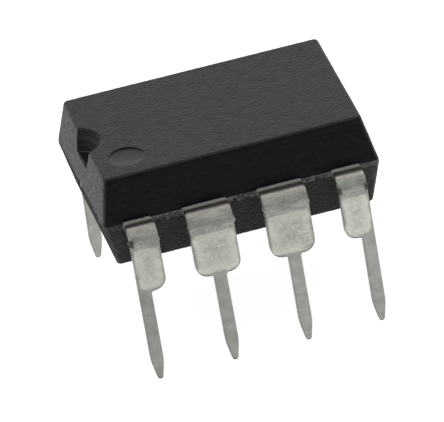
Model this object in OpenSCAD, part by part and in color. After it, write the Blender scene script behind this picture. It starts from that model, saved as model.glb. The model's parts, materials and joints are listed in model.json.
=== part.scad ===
// Eight-lead plastic dual in-line chip. Millimetres, +Z up, the lead tips stand on z = 0.
// The origin is under the centre of the body. The notched end faces -X, and lead 1 is at -X, -Y.

/* [Moulded body] */
// Length of the body at its parting line
body_length = 9.38; // [9.2:0.02:10.2]
// Width of the body at its parting line
body_width = 6.42; // [6.1:0.01:6.6]
// Height of the body above the middle of the lead frame
body_above = 1.62; // [1.5:0.01:1.9]
// Height of the body below the middle of the lead frame
body_below = 1.6; // [1.4:0.01:1.9]
// Height of the parting line above the middle of the lead frame
parting_rise = 0; // [0:0.01:0.1]
// Draft of the long sides above the parting line, in degrees
upper_side_draft = 13.9; // [5:0.1:16]
// Draft of the two ends above the parting line, in degrees
upper_end_draft = 11.8; // [5:0.1:15]
// Draft of the long sides below the parting line, in degrees
lower_side_draft = 11.4; // [5:0.1:16]
// Draft of the two ends below the parting line, in degrees
lower_end_draft = 12.3; // [5:0.1:15]
// Height of the upright land along the parting line
land_height = 0.13; // [0.08:0.01:0.2]
// Radius of the four upright corners
corner_radius = 0.16; // [0.14:0.01:0.4]
// Radius of the edges round the top and bottom faces
edge_radius = 0.12; // [0.06:0.01:0.15]

/* [Marks moulded into the body] */
// Radius of the orientation notch at the top face
notch_radius = 0.9; // [0.6:0.05:1.1]
// Depth of the orientation notch below the top face
notch_depth = 0.75; // [0.4:0.05:1.1]
// Taper of the notch's wall, in degrees
notch_draft = 17; // [5:1:20]
// How far the notch's axis lies inside the end of the body
notch_inset = 0; // [0:0.005:0.2]
// Diameter of the round dimple that marks lead 1
dimple_diameter = 1.18; // [0.8:0.02:1.4]
// Depth of the dimple
dimple_depth = 0.06; // [0.04:0.005:0.15]
// Distance from the dimple's centre to the notched end of the body
dimple_from_end = 1.38; // [1.3:0.02:1.8]
// Distance from the dimple's centre to the long side with lead 1
dimple_from_side = 1.54; // [1.4:0.02:1.8]
// Diameter of the two ejector marks in the underside
ejector_diameter = 1.2; // [0.8:0.1:1.5]
// Depth of the ejector marks
ejector_depth = 0.05; // [0.02:0.01:0.1]
// Distance between the two ejector marks
ejector_spacing = 5.2; // [4:0.1:6]

/* [Leads] */
// Distance from one lead to the next
lead_pitch = 2.54; // [2.45:0.01:2.6]
// Distance over the outsides of the two rows, at the shoulders
shoulder_span = 8.06; // [7.95:0.01:8.4]
// Thickness of the lead frame's sheet
lead_thickness = 0.25; // [0.2:0.01:0.3]
// Inside radius of the lead's bend
bend_radius = 0.2; // [0.15:0.01:0.25]
// How far the trimmed stretch under the bend leans back in, in degrees
trim_lean = 3; // [0:0.5:5]
// Length of the trimmed stretch under the bend
trim_length = 0.22; // [0.12:0.01:0.3]
// How far each blade splays outwards, in degrees
lead_splay = 3.7; // [0:0.1:6]
// Width of a lead at its shoulder
shoulder_width = 1.51; // [1.3:0.01:1.6]
// Depth of the shoulder's lower edge below the middle of the lead frame
shoulder_drop = 2.12; // [1.9:0.01:2.3]
// Radius of the shoulder's lower corners
shoulder_radius = 0.42; // [0.2:0.01:0.45]
// Radius of the fillet between the shoulder and the pin
neck_radius = 0.1; // [0.05:0.01:0.12]
// Width of the pin below the shoulder
pin_width = 0.42; // [0.38:0.02:0.5]
// Depth of the lead's tip below the middle of the lead frame
tip_drop = 5.31; // [5:0.01:5.8]
// Length of the tapered tip
tip_length = 0.66; // [0.4:0.02:0.9]
// Width of the tip's round end
tip_width = 0.2; // [0.14:0.02:0.26]
// How far the trimmed tie stubs stand out of a lead's edges
stub_proud = 0.035; // [0.02:0.005:0.05]
// How far the resin trimmed off between the leads stands out of the body
flash_proud = 0.07; // [0.03:0.01:0.1]

/* [Lead frame inside the body] */
// Length of the die pad
pad_length = 3.1; // [2.8:0.05:3.3]
// Width of the die pad
pad_width = 2.2; // [1.9:0.05:2.4]
// How far the die pad is pressed below the lead frame
pad_downset = 0.3; // [0.26:0.01:0.4]
// Length along the body of each ramp from the tie bar down to the pad
ramp_length = 0.3; // [0.2:0.02:0.4]
// Width of the tie bars that held the pad in the strip
tie_width = 0.4; // [0.3:0.02:0.5]
// How far the cut ends of the tie bars lie inside the body's ends
tie_setback = 0.02; // [0.02:0.01:0.1]
// Gap between the die pad and the tips of the inner leads
pad_gap = 0.3; // [0.2:0.01:0.35]
// Width of an inner lead's tip
finger_width = 0.6; // [0.45:0.02:0.7]
// Width of the neck of an inner lead, where the resin grips it
finger_neck = 0.9; // [0.75:0.02:1.0]
// Length of an inner lead at its full width, from the body's side
finger_root = 0.5; // [0.4:0.02:0.6]

/* [Die and bond wires] */
// Length of the silicon die
die_length = 1.9; // [1.6:0.05:2.2]
// Width of the silicon die
die_width = 1.5; // [1.3:0.05:1.7]
// Thickness of the silicon die
die_thickness = 0.28; // [0.24:0.01:0.35]
// Thickness of the film that holds the die
attach_thickness = 0.03; // [0.02:0.005:0.05]
// How far the film squeezes out round the die
attach_margin = 0.08; // [0.04:0.01:0.12]
// Diameter of a bond wire
wire_diameter = 0.05; // [0.04:0.005:0.06]
// Diameter of the squashed ball or stitch at each end of a wire
bond_diameter = 0.12; // [0.1:0.005:0.14]
// Height of the squashed ball or stitch
bond_height = 0.03; // [0.02:0.005:0.04]
// Height that the wire's loop pulls up to above its ends
loop_height = 0.42; // [0.3:0.02:0.55]
// Distance from a bond's centre to the edge of the die
bond_inset = 0.13; // [0.1:0.01:0.2]
// Distance from a stitch's centre to the tip of its inner lead
stitch_inset = 0.2; // [0.12:0.01:0.25]

/* [Hidden] */

RESIN = "#2b2b2b";
TIN = "#b4b5ae";
COPPER = "#a8683c";
FILM = "#c9c4b4";
SILICON = "#5a6272";
GOLD = "#d8a93a";

// Facets of the body's rounded corners, of exact round shapes and of a wire
corner_fn = 32;
round_fn = 96;
wire_sides = 6;
wire_steps = 10;
// How far a cutting or joining shape runs past the face that it meets
over = 0.3;

leads_per_side = 4;
half_length = body_length / 2;
half_width = body_width / 2;
half_land = land_height / 2;
half_sheet = lead_thickness / 2;
// The bend's axis, from the middle of the body and of the lead frame
outer_bend = bend_radius + lead_thickness;
bend_out = shoulder_span / 2 - outer_bend;
bend_sweep = 90 + trim_lean;
// The crease on the outside of the lead, where the trimmed stretch ends and the blade begins
crease_out = bend_out + outer_bend * sin(bend_sweep) + trim_length * cos(bend_sweep);
crease_down = outer_bend - half_sheet - outer_bend * cos(bend_sweep) + trim_length * sin(bend_sweep);
pin_half = pin_width / 2;
// Levels of the parts stacked on the die pad, from the middle of the lead frame
pad_top = half_sheet - pad_downset;
attach_top = pad_top + attach_thickness;
die_top = attach_top + die_thickness;

// Where lead i stands along its own side, counted from the -X end of that side
function column(i) = (i - (leads_per_side - 1) / 2) * lead_pitch;
// An end lead has a shoulder on its inner side only, so each side's reach is given apart
function reach_left(i) = i == 0 ? pin_half : shoulder_width / 2;
function reach_right(i) = i == leads_per_side - 1 ? pin_half : shoulder_width / 2;
function left_edge(i) = column(i) - reach_left(i);
function right_edge(i) = column(i) + reach_right(i);
// Side of a lead that faces the middle of the body: 1 is towards +X
function inward(i) = i < leads_per_side / 2 ? 1 : -1;
function is_end(i) = i == 0 || i == leads_per_side - 1;

// Half size of a drafted face that has a rounded edge, so that the slope still meets the land
function drafted_half(half, height, draft) =
    half - (height - half_land) * tan(draft) + edge_radius * (1 + tan(draft) - 1 / cos(draft));

module at_frame() {
    translate([0, 0, tip_drop]) children();
}

// Moves the children to lead n's side: leads 1 to 4 stay, and 5 to 8 are their half turn
module on_side(n) {
    rotate(n > leads_per_side ? 180 : 0) children();
}
function place(n) = (n - 1) % leads_per_side;

// One half of the moulding, from the middle of the land up to its flat face
module half_moulding(height, side_draft, end_draft) {
    face_x = drafted_half(half_length, height, end_draft) - corner_radius;
    face_y = drafted_half(half_width, height, side_draft) - corner_radius;
    hull() for (x = [-1, 1], y = [-1, 1]) {
        translate([x * (half_length - corner_radius), y * (half_width - corner_radius), 0])
            cylinder(r = corner_radius, h = half_land, $fn = corner_fn);
        translate([x * face_x, y * face_y, height - edge_radius])
            rotate_extrude($fn = corner_fn) {
                square([corner_radius - edge_radius, edge_radius]);
                translate([corner_radius - edge_radius, 0]) intersection() {
                    circle(r = edge_radius, $fn = corner_fn);
                    square(edge_radius);
                }
            }
    }
}

module notch() {
    bottom_radius = notch_radius - notch_depth * tan(notch_draft);
    extra = over * tan(notch_draft);
    translate([notch_inset - half_length, 0, body_above - notch_depth])
        cylinder(r1 = bottom_radius, r2 = notch_radius + extra, h = notch_depth + over, $fn = round_fn);
}

module dimple() {
    translate([dimple_from_end - half_length, dimple_from_side - half_width, body_above - dimple_depth])
        cylinder(d = dimple_diameter, h = dimple_depth + over, $fn = round_fn);
}

module ejector_marks() {
    for (side = [-1, 1])
        translate([side * ejector_spacing / 2, 0, -body_below - over])
            cylinder(d = ejector_diameter, h = ejector_depth + over, $fn = round_fn);
}

// Resin that filled the gaps between the leads and was trimmed off just outside the body
module flash_ribs() {
    for (turn = [0, 180], i = [0 : leads_per_side - 2])
        rotate(turn)
            translate([right_edge(i), -half_width - flash_proud, -half_sheet])
                cube([left_edge(i + 1) - right_edge(i), flash_proud + over, lead_thickness]);
}

// Side view of a lead outside the body: x is the distance out, y is the height
module lead_profile() {
    run_start = half_width - over;
    blade_length = (tip_drop - crease_down) / cos(lead_splay);
    lap = lead_thickness * tan(lead_splay + trim_lean);
    translate([run_start, -half_sheet]) square([bend_out - run_start, lead_thickness]);
    translate([bend_out, half_sheet - outer_bend]) {
        intersection() {
            difference() {
                circle(r = outer_bend, $fn = round_fn);
                circle(r = bend_radius, $fn = round_fn);
            }
            polygon([
                [0, 0], [0, 2 * outer_bend], [2 * outer_bend, 2 * outer_bend],
                [2 * outer_bend, 0], [2 * outer_bend * sin(bend_sweep), 2 * outer_bend * cos(bend_sweep)]
            ]);
        }
        rotate(-trim_lean) translate([bend_radius, -trim_length]) square([lead_thickness, trim_length]);
    }
    translate([crease_out, -crease_down]) rotate(lead_splay)
        translate([-lead_thickness, -blade_length]) square([lead_thickness, blade_length + lap]);
}

// Front view of a lead: x is along the body and y is the height
module lead_outline(i) {
    left = is_end(i) && inward(i) > 0 ? 0 : shoulder_radius;
    right = is_end(i) && inward(i) < 0 ? 0 : shoulder_radius;
    width = reach_left(i) + reach_right(i);
    translate([-reach_left(i), -shoulder_drop + shoulder_radius])
        square([width, shoulder_drop - shoulder_radius + over]);
    translate([left - reach_left(i), -shoulder_drop]) square([width - left - right, shoulder_radius]);
    if (left > 0) translate([left - reach_left(i), shoulder_radius - shoulder_drop])
        circle(r = shoulder_radius, $fn = round_fn);
    if (right > 0) translate([reach_right(i) - right, shoulder_radius - shoulder_drop])
        circle(r = shoulder_radius, $fn = round_fn);
    for (side = [-1, 1]) if (side < 0 ? left > 0 : right > 0)
        translate([side * pin_half, -shoulder_drop]) scale([side, 1]) neck_fillet();
    pin_outline();
}

// Concave corner between the shoulder's lower edge and the pin's edge
module neck_fillet() {
    difference() {
        translate([-neck_radius / 2, -neck_radius]) square([neck_radius * 1.5, neck_radius * 1.5]);
        translate([neck_radius, -neck_radius]) circle(r = neck_radius, $fn = round_fn);
    }
}

module pin_outline() {
    tip_radius = tip_width / 2;
    tip_centre = tip_drop - tip_radius;
    polygon([
        [-pin_half, -shoulder_drop + shoulder_radius], [-pin_half, tip_length - tip_drop],
        [-tip_radius, -tip_centre], [tip_radius, -tip_centre],
        [pin_half, tip_length - tip_drop], [pin_half, -shoulder_drop + shoulder_radius]
    ]);
    translate([0, -tip_centre]) circle(r = tip_radius, $fn = round_fn);
}

// Cut stubs of the bar that tied the leads together, one on each edge of the shoulder
module tie_stubs(i) {
    stub_top = outer_bend - half_sheet;
    for (x = [left_edge(i) - stub_proud, right_edge(i)])
        translate([x, -shoulder_span / 2, -stub_top - trim_length / 2])
            cube([stub_proud, lead_thickness * 0.8, trim_length]);
}

// Plan of the flat finger that reaches from the body's side in towards the die pad
module finger(i) {
    root = half_width - finger_root;
    narrow = root - finger_root / 2;
    tip = pad_width / 2 + pad_gap;
    side = inward(i);
    x0 = column(i);
    linear_extrude(lead_thickness, center = true) {
        translate([left_edge(i), -half_width - over]) square([right_edge(i) - left_edge(i), finger_root + over]);
        if (is_end(i)) {
            tip_x = side * (-pad_length / 2 - pad_gap);
            polygon([
                [x0 + side * (finger_neck - pin_half), -root - over], [x0 - side * pin_half, -root - over],
                [x0 - side * pin_half, -narrow],
                [tip_x - side * finger_width, -tip + finger_width / 2],
                [tip_x, -tip + finger_width / 2], [tip_x, -tip - finger_width / 2],
                [x0 + side * (finger_neck - pin_half), -narrow - finger_width / 2]
            ]);
        } else {
            translate([x0 - finger_neck / 2, -root - over]) square([finger_neck, root - narrow + over]);
            polygon([
                [x0 - finger_neck / 2, -narrow], [x0 + finger_neck / 2, -narrow],
                [x0 + finger_width / 2, -narrow + finger_width / 2], [x0 + finger_width / 2, -tip],
                [x0 - finger_width / 2, -tip], [x0 - finger_width / 2, -narrow + finger_width / 2]
            ]);
        }
    }
}

// One whole lead on its own side, which is also the room that the moulding leaves for it
module lead_solid(i) {
    finger(i);
    intersection() {
        rotate([90, 0, -90]) linear_extrude(2 * body_length, center = true) lead_profile();
        translate([column(i), 0, 0]) rotate([90, 0, 0]) linear_extrude(shoulder_span) lead_outline(i);
    }
    tie_stubs(i);
}

module lead(n) {
    color(TIN) at_frame() on_side(n) lead_solid(place(n));
}

module pad_solid() {
    bar_end = half_length - tie_setback;
    ramp_end = pad_length / 2 + ramp_length;
    intersection() {
        rotate([90, 0, 0]) linear_extrude(body_width, center = true) polygon([
            [-bar_end, half_sheet], [-ramp_end, half_sheet], [-pad_length / 2, pad_top],
            [pad_length / 2, pad_top], [ramp_end, half_sheet], [bar_end, half_sheet],
            [bar_end, -half_sheet], [ramp_end, -half_sheet],
            [pad_length / 2, pad_top - lead_thickness], [-pad_length / 2, pad_top - lead_thickness],
            [-ramp_end, -half_sheet], [-bar_end, -half_sheet]
        ]);
        union() {
            cube([pad_length, pad_width, body_width], center = true);
            cube([body_length, tie_width, body_width], center = true);
        }
    }
}

// Short slots in the body's ends, through which the cut tie bars show
module tie_slots() {
    for (side = [-1, 1])
        translate([side * half_length, 0, 0])
            cube([2 * tie_setback, tie_width, lead_thickness], center = true);
}

module attach_solid() {
    size = 2 * attach_margin;
    translate([0, 0, pad_top + attach_thickness / 2])
        cube([die_length + size, die_width + size, attach_thickness], center = true);
}

module die_solid() {
    translate([0, 0, attach_top + die_thickness / 2])
        cube([die_length, die_width, die_thickness], center = true);
}

// Centre of wire i's bond on the die, and of its stitch on the inner lead
function bond_point(i) = is_end(i)
    ? [inward(i) * (bond_inset - die_length / 2), bond_inset * 3 - die_width / 2, die_top]
    : [inward(i) * (bond_inset * 4 - die_length / 2), bond_inset - die_width / 2, die_top];
function stitch_point(i) = is_end(i)
    ? [inward(i) * (-pad_length / 2 - pad_gap - stitch_inset), -pad_width / 2 - pad_gap, half_sheet]
    : [column(i), -pad_width / 2 - pad_gap - stitch_inset, half_sheet];

function bezier(p, t) =
    pow(1 - t, 3) * p[0] + 3 * pow(1 - t, 2) * t * p[1] + 3 * (1 - t) * t * t * p[2] + pow(t, 3) * p[3];
function bezier_slope(p, t) =
    3 * pow(1 - t, 2) * (p[1] - p[0]) + 6 * (1 - t) * t * (p[2] - p[1]) + 3 * t * t * (p[3] - p[2]);

// A wire's loop leaves its ball upwards, crosses to its lead and comes down on the stitch
module wire_solid(i) {
    up = [0, 0, 1];
    start = bond_point(i);
    finish = stitch_point(i);
    across = finish - start;
    run = norm([across[0], across[1]]);
    ahead = [across[0] / run, across[1] / run, 0];
    sideways = cross(up, ahead);
    first = start + bond_height * up;
    last = finish + bond_height * up;
    path = [first, first + loop_height * up, last + loop_height * up, last];
    steps = [for (k = [0 : wire_steps]) k / wire_steps];
    // Each ring is its centre, the direction that its zero angle points in, and its radius
    rings = concat(
        [[start, ahead, bond_diameter / 2], [first, ahead, bond_diameter / 2]],
        [for (t = steps) let (slope = bezier_slope(path, t))
            [bezier(path, t), cross(sideways, slope / norm(slope)), wire_diameter / 2]],
        [[last, -ahead, bond_diameter / 2], [finish, -ahead, bond_diameter / 2]]
    );
    count = len(rings);
    points = [for (ring = rings, k = [0 : wire_sides - 1]) let (a = k * 360 / wire_sides)
        ring[0] + ring[2] * (cos(a) * ring[1] + sin(a) * sideways)];
    sides = [for (j = [0 : count - 2], k = [0 : wire_sides - 1])
        let (next = (k + 1) % wire_sides, a = j * wire_sides, b = a + wire_sides)
        for (half = [0, 1])
            half == 0 ? [a + k, a + next, b + next] : [a + k, b + next, b + k]];
    polyhedron(
        points = points,
        faces = concat(
            sides,
            [[for (k = [wire_sides - 1 : -1 : 0]) k]],
            [[for (k = [0 : wire_sides - 1]) (count - 1) * wire_sides + k]]
        )
    );
}

module body() {
    color(RESIN) at_frame() difference() {
        union() {
            translate([0, 0, parting_rise]) {
                half_moulding(body_above - parting_rise, upper_side_draft, upper_end_draft);
                mirror([0, 0, 1])
                    half_moulding(body_below + parting_rise, lower_side_draft, lower_end_draft);
            }
            flash_ribs();
        }
        notch();
        dimple();
        ejector_marks();
        tie_slots();
        pad_solid();
        attach_solid();
        die_solid();
        for (n = [1 : 2 * leads_per_side]) on_side(n) {
            lead_solid(place(n));
            wire_solid(place(n));
        }
    }
}

module die_pad() {
    color(COPPER) at_frame() pad_solid();
}

module die_attach() {
    color(FILM) at_frame() attach_solid();
}

module die() {
    color(SILICON) at_frame() die_solid();
}

module bond_wire(n) {
    color(GOLD) at_frame() on_side(n) wire_solid(place(n));
}

body();
lead(1);  // lead_1
lead(2);  // lead_2
lead(3);  // lead_3
lead(4);  // lead_4
lead(5);  // lead_5
lead(6);  // lead_6
lead(7);  // lead_7
lead(8);  // lead_8
die_pad();
die_attach();
die();
bond_wire(1);  // bond_wire_1
bond_wire(2);  // bond_wire_2
bond_wire(3);  // bond_wire_3
bond_wire(4);  // bond_wire_4
bond_wire(5);  // bond_wire_5
bond_wire(6);  // bond_wire_6
bond_wire(7);  // bond_wire_7
bond_wire(8);  // bond_wire_8
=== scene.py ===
# %% [markdown]
# # A plastic dual in-line chip, dressed for its portrait
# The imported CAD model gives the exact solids: one moulded body, eight bent leads, and the die, pad and
# wires that the moulding hides. This lesson keeps their form and gives each surface what the making of
# a real chip leaves on it: the grain of a spark-eroded mould, torn resin between the leads, sheared
# edges, and tin that bending and trimming have rubbed.

# %% Load the frame
import json
import math

import bmesh
import bpy
import numpy as np
from mathutils import Matrix, Vector, geometry, noise

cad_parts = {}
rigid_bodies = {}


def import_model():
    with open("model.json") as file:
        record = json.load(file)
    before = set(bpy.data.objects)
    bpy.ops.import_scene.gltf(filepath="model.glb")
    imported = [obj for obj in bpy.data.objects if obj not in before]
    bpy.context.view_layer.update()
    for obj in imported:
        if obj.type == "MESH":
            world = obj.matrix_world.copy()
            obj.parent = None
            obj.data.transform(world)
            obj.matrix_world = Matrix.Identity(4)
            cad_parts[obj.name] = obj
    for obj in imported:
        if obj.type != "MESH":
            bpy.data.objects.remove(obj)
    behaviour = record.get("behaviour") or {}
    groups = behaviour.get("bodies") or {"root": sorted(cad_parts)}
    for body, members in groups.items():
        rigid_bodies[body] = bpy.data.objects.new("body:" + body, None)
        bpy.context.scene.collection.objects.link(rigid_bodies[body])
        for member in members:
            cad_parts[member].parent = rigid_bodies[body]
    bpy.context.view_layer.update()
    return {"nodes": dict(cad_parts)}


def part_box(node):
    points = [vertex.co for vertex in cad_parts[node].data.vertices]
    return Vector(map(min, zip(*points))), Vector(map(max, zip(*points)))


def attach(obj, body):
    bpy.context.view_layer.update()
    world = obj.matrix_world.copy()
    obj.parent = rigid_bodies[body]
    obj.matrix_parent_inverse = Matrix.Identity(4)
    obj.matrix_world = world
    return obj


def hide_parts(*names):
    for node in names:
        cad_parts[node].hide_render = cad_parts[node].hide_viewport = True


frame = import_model()
scene = bpy.context.scene
root = bpy.context.scene.collection
print("CAD nodes:", len(frame["nodes"]))

# %% [markdown]
# ## Sizes
# A moulding and a stamping are both drawn in millimetres, so this file works in millimetres and turns
# them to metres only where a mesh is written. The values are those of the CAD part. Every height is
# counted from the middle of the lead frame's sheet, as the mould maker does, and `FRAME_Z` lifts it to
# where the lead tips stand on the floor.

# %% Sizes in millimetres
MM = 0.001
FRAME_Z = 5.31

HALF_LENGTH, HALF_WIDTH = 9.38 / 2, 6.42 / 2
BODY_ABOVE, BODY_BELOW = 1.62, 1.6
PARTING_RISE, HALF_LAND = 0, 0.13 / 2
UPPER_SIDE_DRAFT, UPPER_END_DRAFT = 13.9, 11.8
LOWER_SIDE_DRAFT, LOWER_END_DRAFT = 11.4, 12.3
CORNER_RADIUS, EDGE_RADIUS = 0.16, 0.12
NOTCH_RADIUS, NOTCH_DEPTH, NOTCH_DRAFT, NOTCH_INSET = 0.9, 0.75, 17, 0
DIMPLE_RADIUS, DIMPLE_DEPTH, DIMPLE_FROM_END, DIMPLE_FROM_SIDE = 1.18 / 2, 0.06, 1.38, 1.54
EJECTOR_RADIUS, EJECTOR_DEPTH, EJECTOR_SPACING = 0.6, 0.05, 5.2

LEAD_PITCH, LEADS_PER_SIDE = 2.54, 4
SHEET = 0.25
OUTER_BEND, SHOULDER_SPAN = 0.2 + SHEET, 8.06
TRIM_LEAN, TRIM_LENGTH, LEAD_SPLAY = 3, 0.22, 3.7
SHOULDER_HALF, SHOULDER_DROP, SHOULDER_RADIUS = 1.51 / 2, 2.12, 0.42
NECK_RADIUS, PIN_HALF = 0.1, 0.21
LEAD_SHIFT = -0.02
TIP_LENGTH, TIP_RADIUS = 0.66, 0.1
STUB_PROUD, FLASH_PROUD = 0.035, 0.07

PAD_LENGTH, PAD_WIDTH, PAD_GAP = 3.1, 2.2, 0.3
TIE_WIDTH, TIE_SETBACK = 0.4, 0.02
FINGER_WIDTH, FINGER_NECK, FINGER_ROOT = 0.6, 0.9, 0.5

BEND_OUT = SHOULDER_SPAN / 2 - OUTER_BEND
BEND_SWEEP = math.radians(90 + TRIM_LEAN)
SPLAY = math.radians(LEAD_SPLAY)
CREASE_OUT = BEND_OUT + OUTER_BEND * math.sin(BEND_SWEEP) + TRIM_LENGTH * math.cos(BEND_SWEEP)
CREASE_DOWN = (OUTER_BEND - SHEET / 2 - OUTER_BEND * math.cos(BEND_SWEEP)
               + TRIM_LENGTH * math.sin(BEND_SWEEP))
print(f"crease {CREASE_OUT:.3f} mm out and {CREASE_DOWN:.3f} mm down")

# %% [markdown]
# ## The camera
# The photograph was taken with a long lens, from above and a little to the left, and the camera was
# tilted. A pinhole camera fitted to 94 points on the chip's edges gave the angles, distance and scale.
# A camera could also be aimed by hand with a Track To constraint, but a fitted matrix keeps every edge
# within a pixel of the photograph.

# %% Camera from the fitted angles
azimuth, elevation, roll = (math.radians(a) for a in (-9.978, 30.709, -9.0))
CAMERA_DISTANCE, PIXELS_PER_MM, PHOTO_WIDTH = 314.3, 30.169, 444
target_right, target_up = -0.574, 2.518

back = Vector((math.sin(azimuth) * math.cos(elevation),
               -math.cos(azimuth) * math.cos(elevation), math.sin(elevation)))
level = Vector((math.cos(azimuth), math.sin(azimuth), 0))
upright = back.cross(level)
right = math.cos(roll) * level + math.sin(roll) * upright
up = -math.sin(roll) * level + math.cos(roll) * upright
place = (right * target_right + up * target_up + back * CAMERA_DISTANCE) * MM

camera_data = bpy.data.cameras.new("camera")
camera_data.sensor_fit, camera_data.sensor_width = "HORIZONTAL", 36
camera_data.lens = PIXELS_PER_MM * CAMERA_DISTANCE / PHOTO_WIDTH * camera_data.sensor_width
camera_data.clip_start = 0.01
camera = bpy.data.objects.new("camera", camera_data)
root.objects.link(camera)
camera.matrix_world = Matrix((right, up, back)).transposed().to_4x4()
camera.matrix_world.translation = place
scene.camera = camera
scene.view_settings.view_transform = "Standard"
print(f"lens {camera_data.lens:.0f} mm at {CAMERA_DISTANCE:.0f} mm")

# %% [markdown]
# ## Helpers
# Three small tools serve the whole lesson. `linear` turns a hex colour as a paint program shows it into
# the linear values that a shader works with. `add` puts one node into a tree with its settings and
# links. `make_mesh` writes millimetre points as an object in metres.

# %% Colour, node and mesh helpers
def linear(code, alpha=1):
    """The linear colour of an sRGB hex code such as "#2b2b2b"."""
    parts = [int(code[i:i + 2], 16) / 255 for i in (1, 3, 5)]
    return [p / 12.92 if p <= 0.04045 else ((p + 0.055) / 1.055) ** 2.4 for p in parts] + [alpha]


def add(tree, kind, links=(), **settings):
    """Adds a node. links gives each socket, by name or number, a value or the output that feeds it."""
    node = tree.nodes.new(kind)
    for name, value in settings.items():
        setattr(node, name, value)
    for key, source in dict(links).items():
        socket = node.inputs[key]
        if isinstance(source, bpy.types.Node):
            source = next(o for o in source.outputs if o.enabled)
        if isinstance(source, bpy.types.NodeSocket):
            tree.links.new(source, socket)
        else:
            socket.default_value = source
    return node


def make_mesh(name, points, faces, material, smooth=True):
    """An object in metres from points in millimetres, at the origin, with its place in its mesh."""
    mesh = bpy.data.meshes.new(name)
    mesh.from_pydata((np.asarray(points, float) * MM).tolist(), [], [list(map(int, f)) for f in faces])
    mesh.polygons.foreach_set("use_smooth", [smooth] * len(mesh.polygons))
    mesh.materials.append(material)
    mesh.update()
    made = bpy.data.objects.new(name, mesh)
    root.objects.link(made)
    return made


print("black epoxy in linear light:", [round(v, 4) for v in linear("#2b2b2b")])

# %% [markdown]
# ## Black moulded epoxy
# The body is epoxy resin, filled with about 80% silica and blackened with carbon. Its mould was eroded
# by sparks, which leave a matt grain of 0.05 to 0.15 mm, so light scatters on it: it is black from the
# front and greyer where one looks along it. The filler also gives a faint mottle of tone. Along the two
# long sides the parting band is rubbed by the trimming tool and shows the grey filler. The notch and the
# dimple come from turned and polished pins, so they are smooth, with faint turning lines in the notch.
# A second material could be given to those faces, but masks by distance keep one skin without a seam.

# %% Material of the body
epoxy = bpy.data.materials.new("black_moulded_epoxy")
epoxy.use_nodes = True
tree = epoxy.node_tree
shader = tree.nodes["Principled BSDF"]
shader.inputs["IOR"].default_value = 1.5
shader.inputs["Specular IOR Level"].default_value = 0.27
where = add(tree, "ShaderNodeTexCoord").outputs["Object"]
axes = add(tree, "ShaderNodeSeparateXYZ", {0: where})

# The pins that press the notch and the dimple are turned and polished, so the resin is smooth there
high = add(tree, "ShaderNodeMapRange", {0: axes.outputs["Z"], 1: (FRAME_Z + BODY_ABOVE - NOTCH_DEPTH - 0.1) * MM,
                                        2: (FRAME_Z + BODY_ABOVE - NOTCH_DEPTH - 0.05) * MM})
pins = []
for x, y, radius in ((NOTCH_INSET - HALF_LENGTH, 0, NOTCH_RADIUS),
                     (DIMPLE_FROM_END - HALF_LENGTH, DIMPLE_FROM_SIDE - HALF_WIDTH, DIMPLE_RADIUS)):
    flat = add(tree, "ShaderNodeVectorMath", {0: where, 1: (1, 1, 0)}, operation="MULTIPLY")
    away = add(tree, "ShaderNodeVectorMath", {0: flat, 1: (x * MM, y * MM, 0)}, operation="DISTANCE")
    near = add(tree, "ShaderNodeMapRange", {0: away.outputs["Value"], 1: (radius + 0.02) * MM,
                                            2: (radius + 0.005) * MM})
    pins.append(add(tree, "ShaderNodeMath", {0: near, 1: high}, operation="MULTIPLY"))
# The notch's own wall begins where the drafted end face stops
out_x = add(tree, "ShaderNodeMath", {0: axes.outputs["X"]}, operation="ABSOLUTE")
lift = add(tree, "ShaderNodeMath", {0: axes.outputs["Z"], 1: (FRAME_Z + HALF_LAND) * MM}, operation="SUBTRACT")
drawn_in = add(tree, "ShaderNodeMath", {0: lift, 1: math.tan(math.radians(UPPER_END_DRAFT)), 2: out_x},
               operation="MULTIPLY_ADD")
drawn_in = add(tree, "ShaderNodeMapRange", {0: drawn_in, 1: (HALF_LENGTH - 0.02) * MM,
                                            2: (HALF_LENGTH - 0.05) * MM})
pins[0] = add(tree, "ShaderNodeMath", {0: pins[0], 1: drawn_in}, operation="MULTIPLY")
smooth = add(tree, "ShaderNodeMath", {0: pins[0], 1: pins[1]}, operation="MAXIMUM")
# Painted shade darkens the lower part of the notch, where little light reaches; its pin was polished there too
painted_notch_shade = add(tree, "ShaderNodeMapRange", {0: axes.outputs["Z"],
                                           1: (FRAME_Z + BODY_ABOVE - NOTCH_DEPTH + 0.25) * MM,
                                           2: (FRAME_Z + BODY_ABOVE - NOTCH_DEPTH + 0.05) * MM, 4: 0.6})
painted_notch_shade = add(tree, "ShaderNodeMath", {0: pins[0], 1: painted_notch_shade}, operation="MULTIPLY")

# The upper halves of the long sides were polished in the mould more than the top and the ends; they are also painted
# darker, as painted shade
lean = add(tree, "ShaderNodeMath", {0: lift, 1: 0.0}, operation="MAXIMUM")
lean = add(tree, "ShaderNodeMath", {0: lean, 1: math.tan(math.radians(UPPER_SIDE_DRAFT))}, operation="MULTIPLY")
upper_side_polish_and_shade = add(tree, "ShaderNodeMath", {0: axes.outputs["Y"]}, operation="ABSOLUTE")
upper_side_polish_and_shade = add(tree, "ShaderNodeMath", {0: upper_side_polish_and_shade, 1: lean}, operation="ADD")
upper_side_polish_and_shade = add(tree, "ShaderNodeMapRange", {0: upper_side_polish_and_shade, 1: (HALF_WIDTH - 0.1) * MM, 2: (HALF_WIDTH - 0.03) * MM})
above = add(tree, "ShaderNodeMapRange", {0: axes.outputs["Z"], 1: FRAME_Z * MM, 2: (FRAME_Z + 0.1) * MM})
upper_side_polish_and_shade = add(tree, "ShaderNodeMath", {0: upper_side_polish_and_shade, 1: above}, operation="MULTIPLY")
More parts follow.
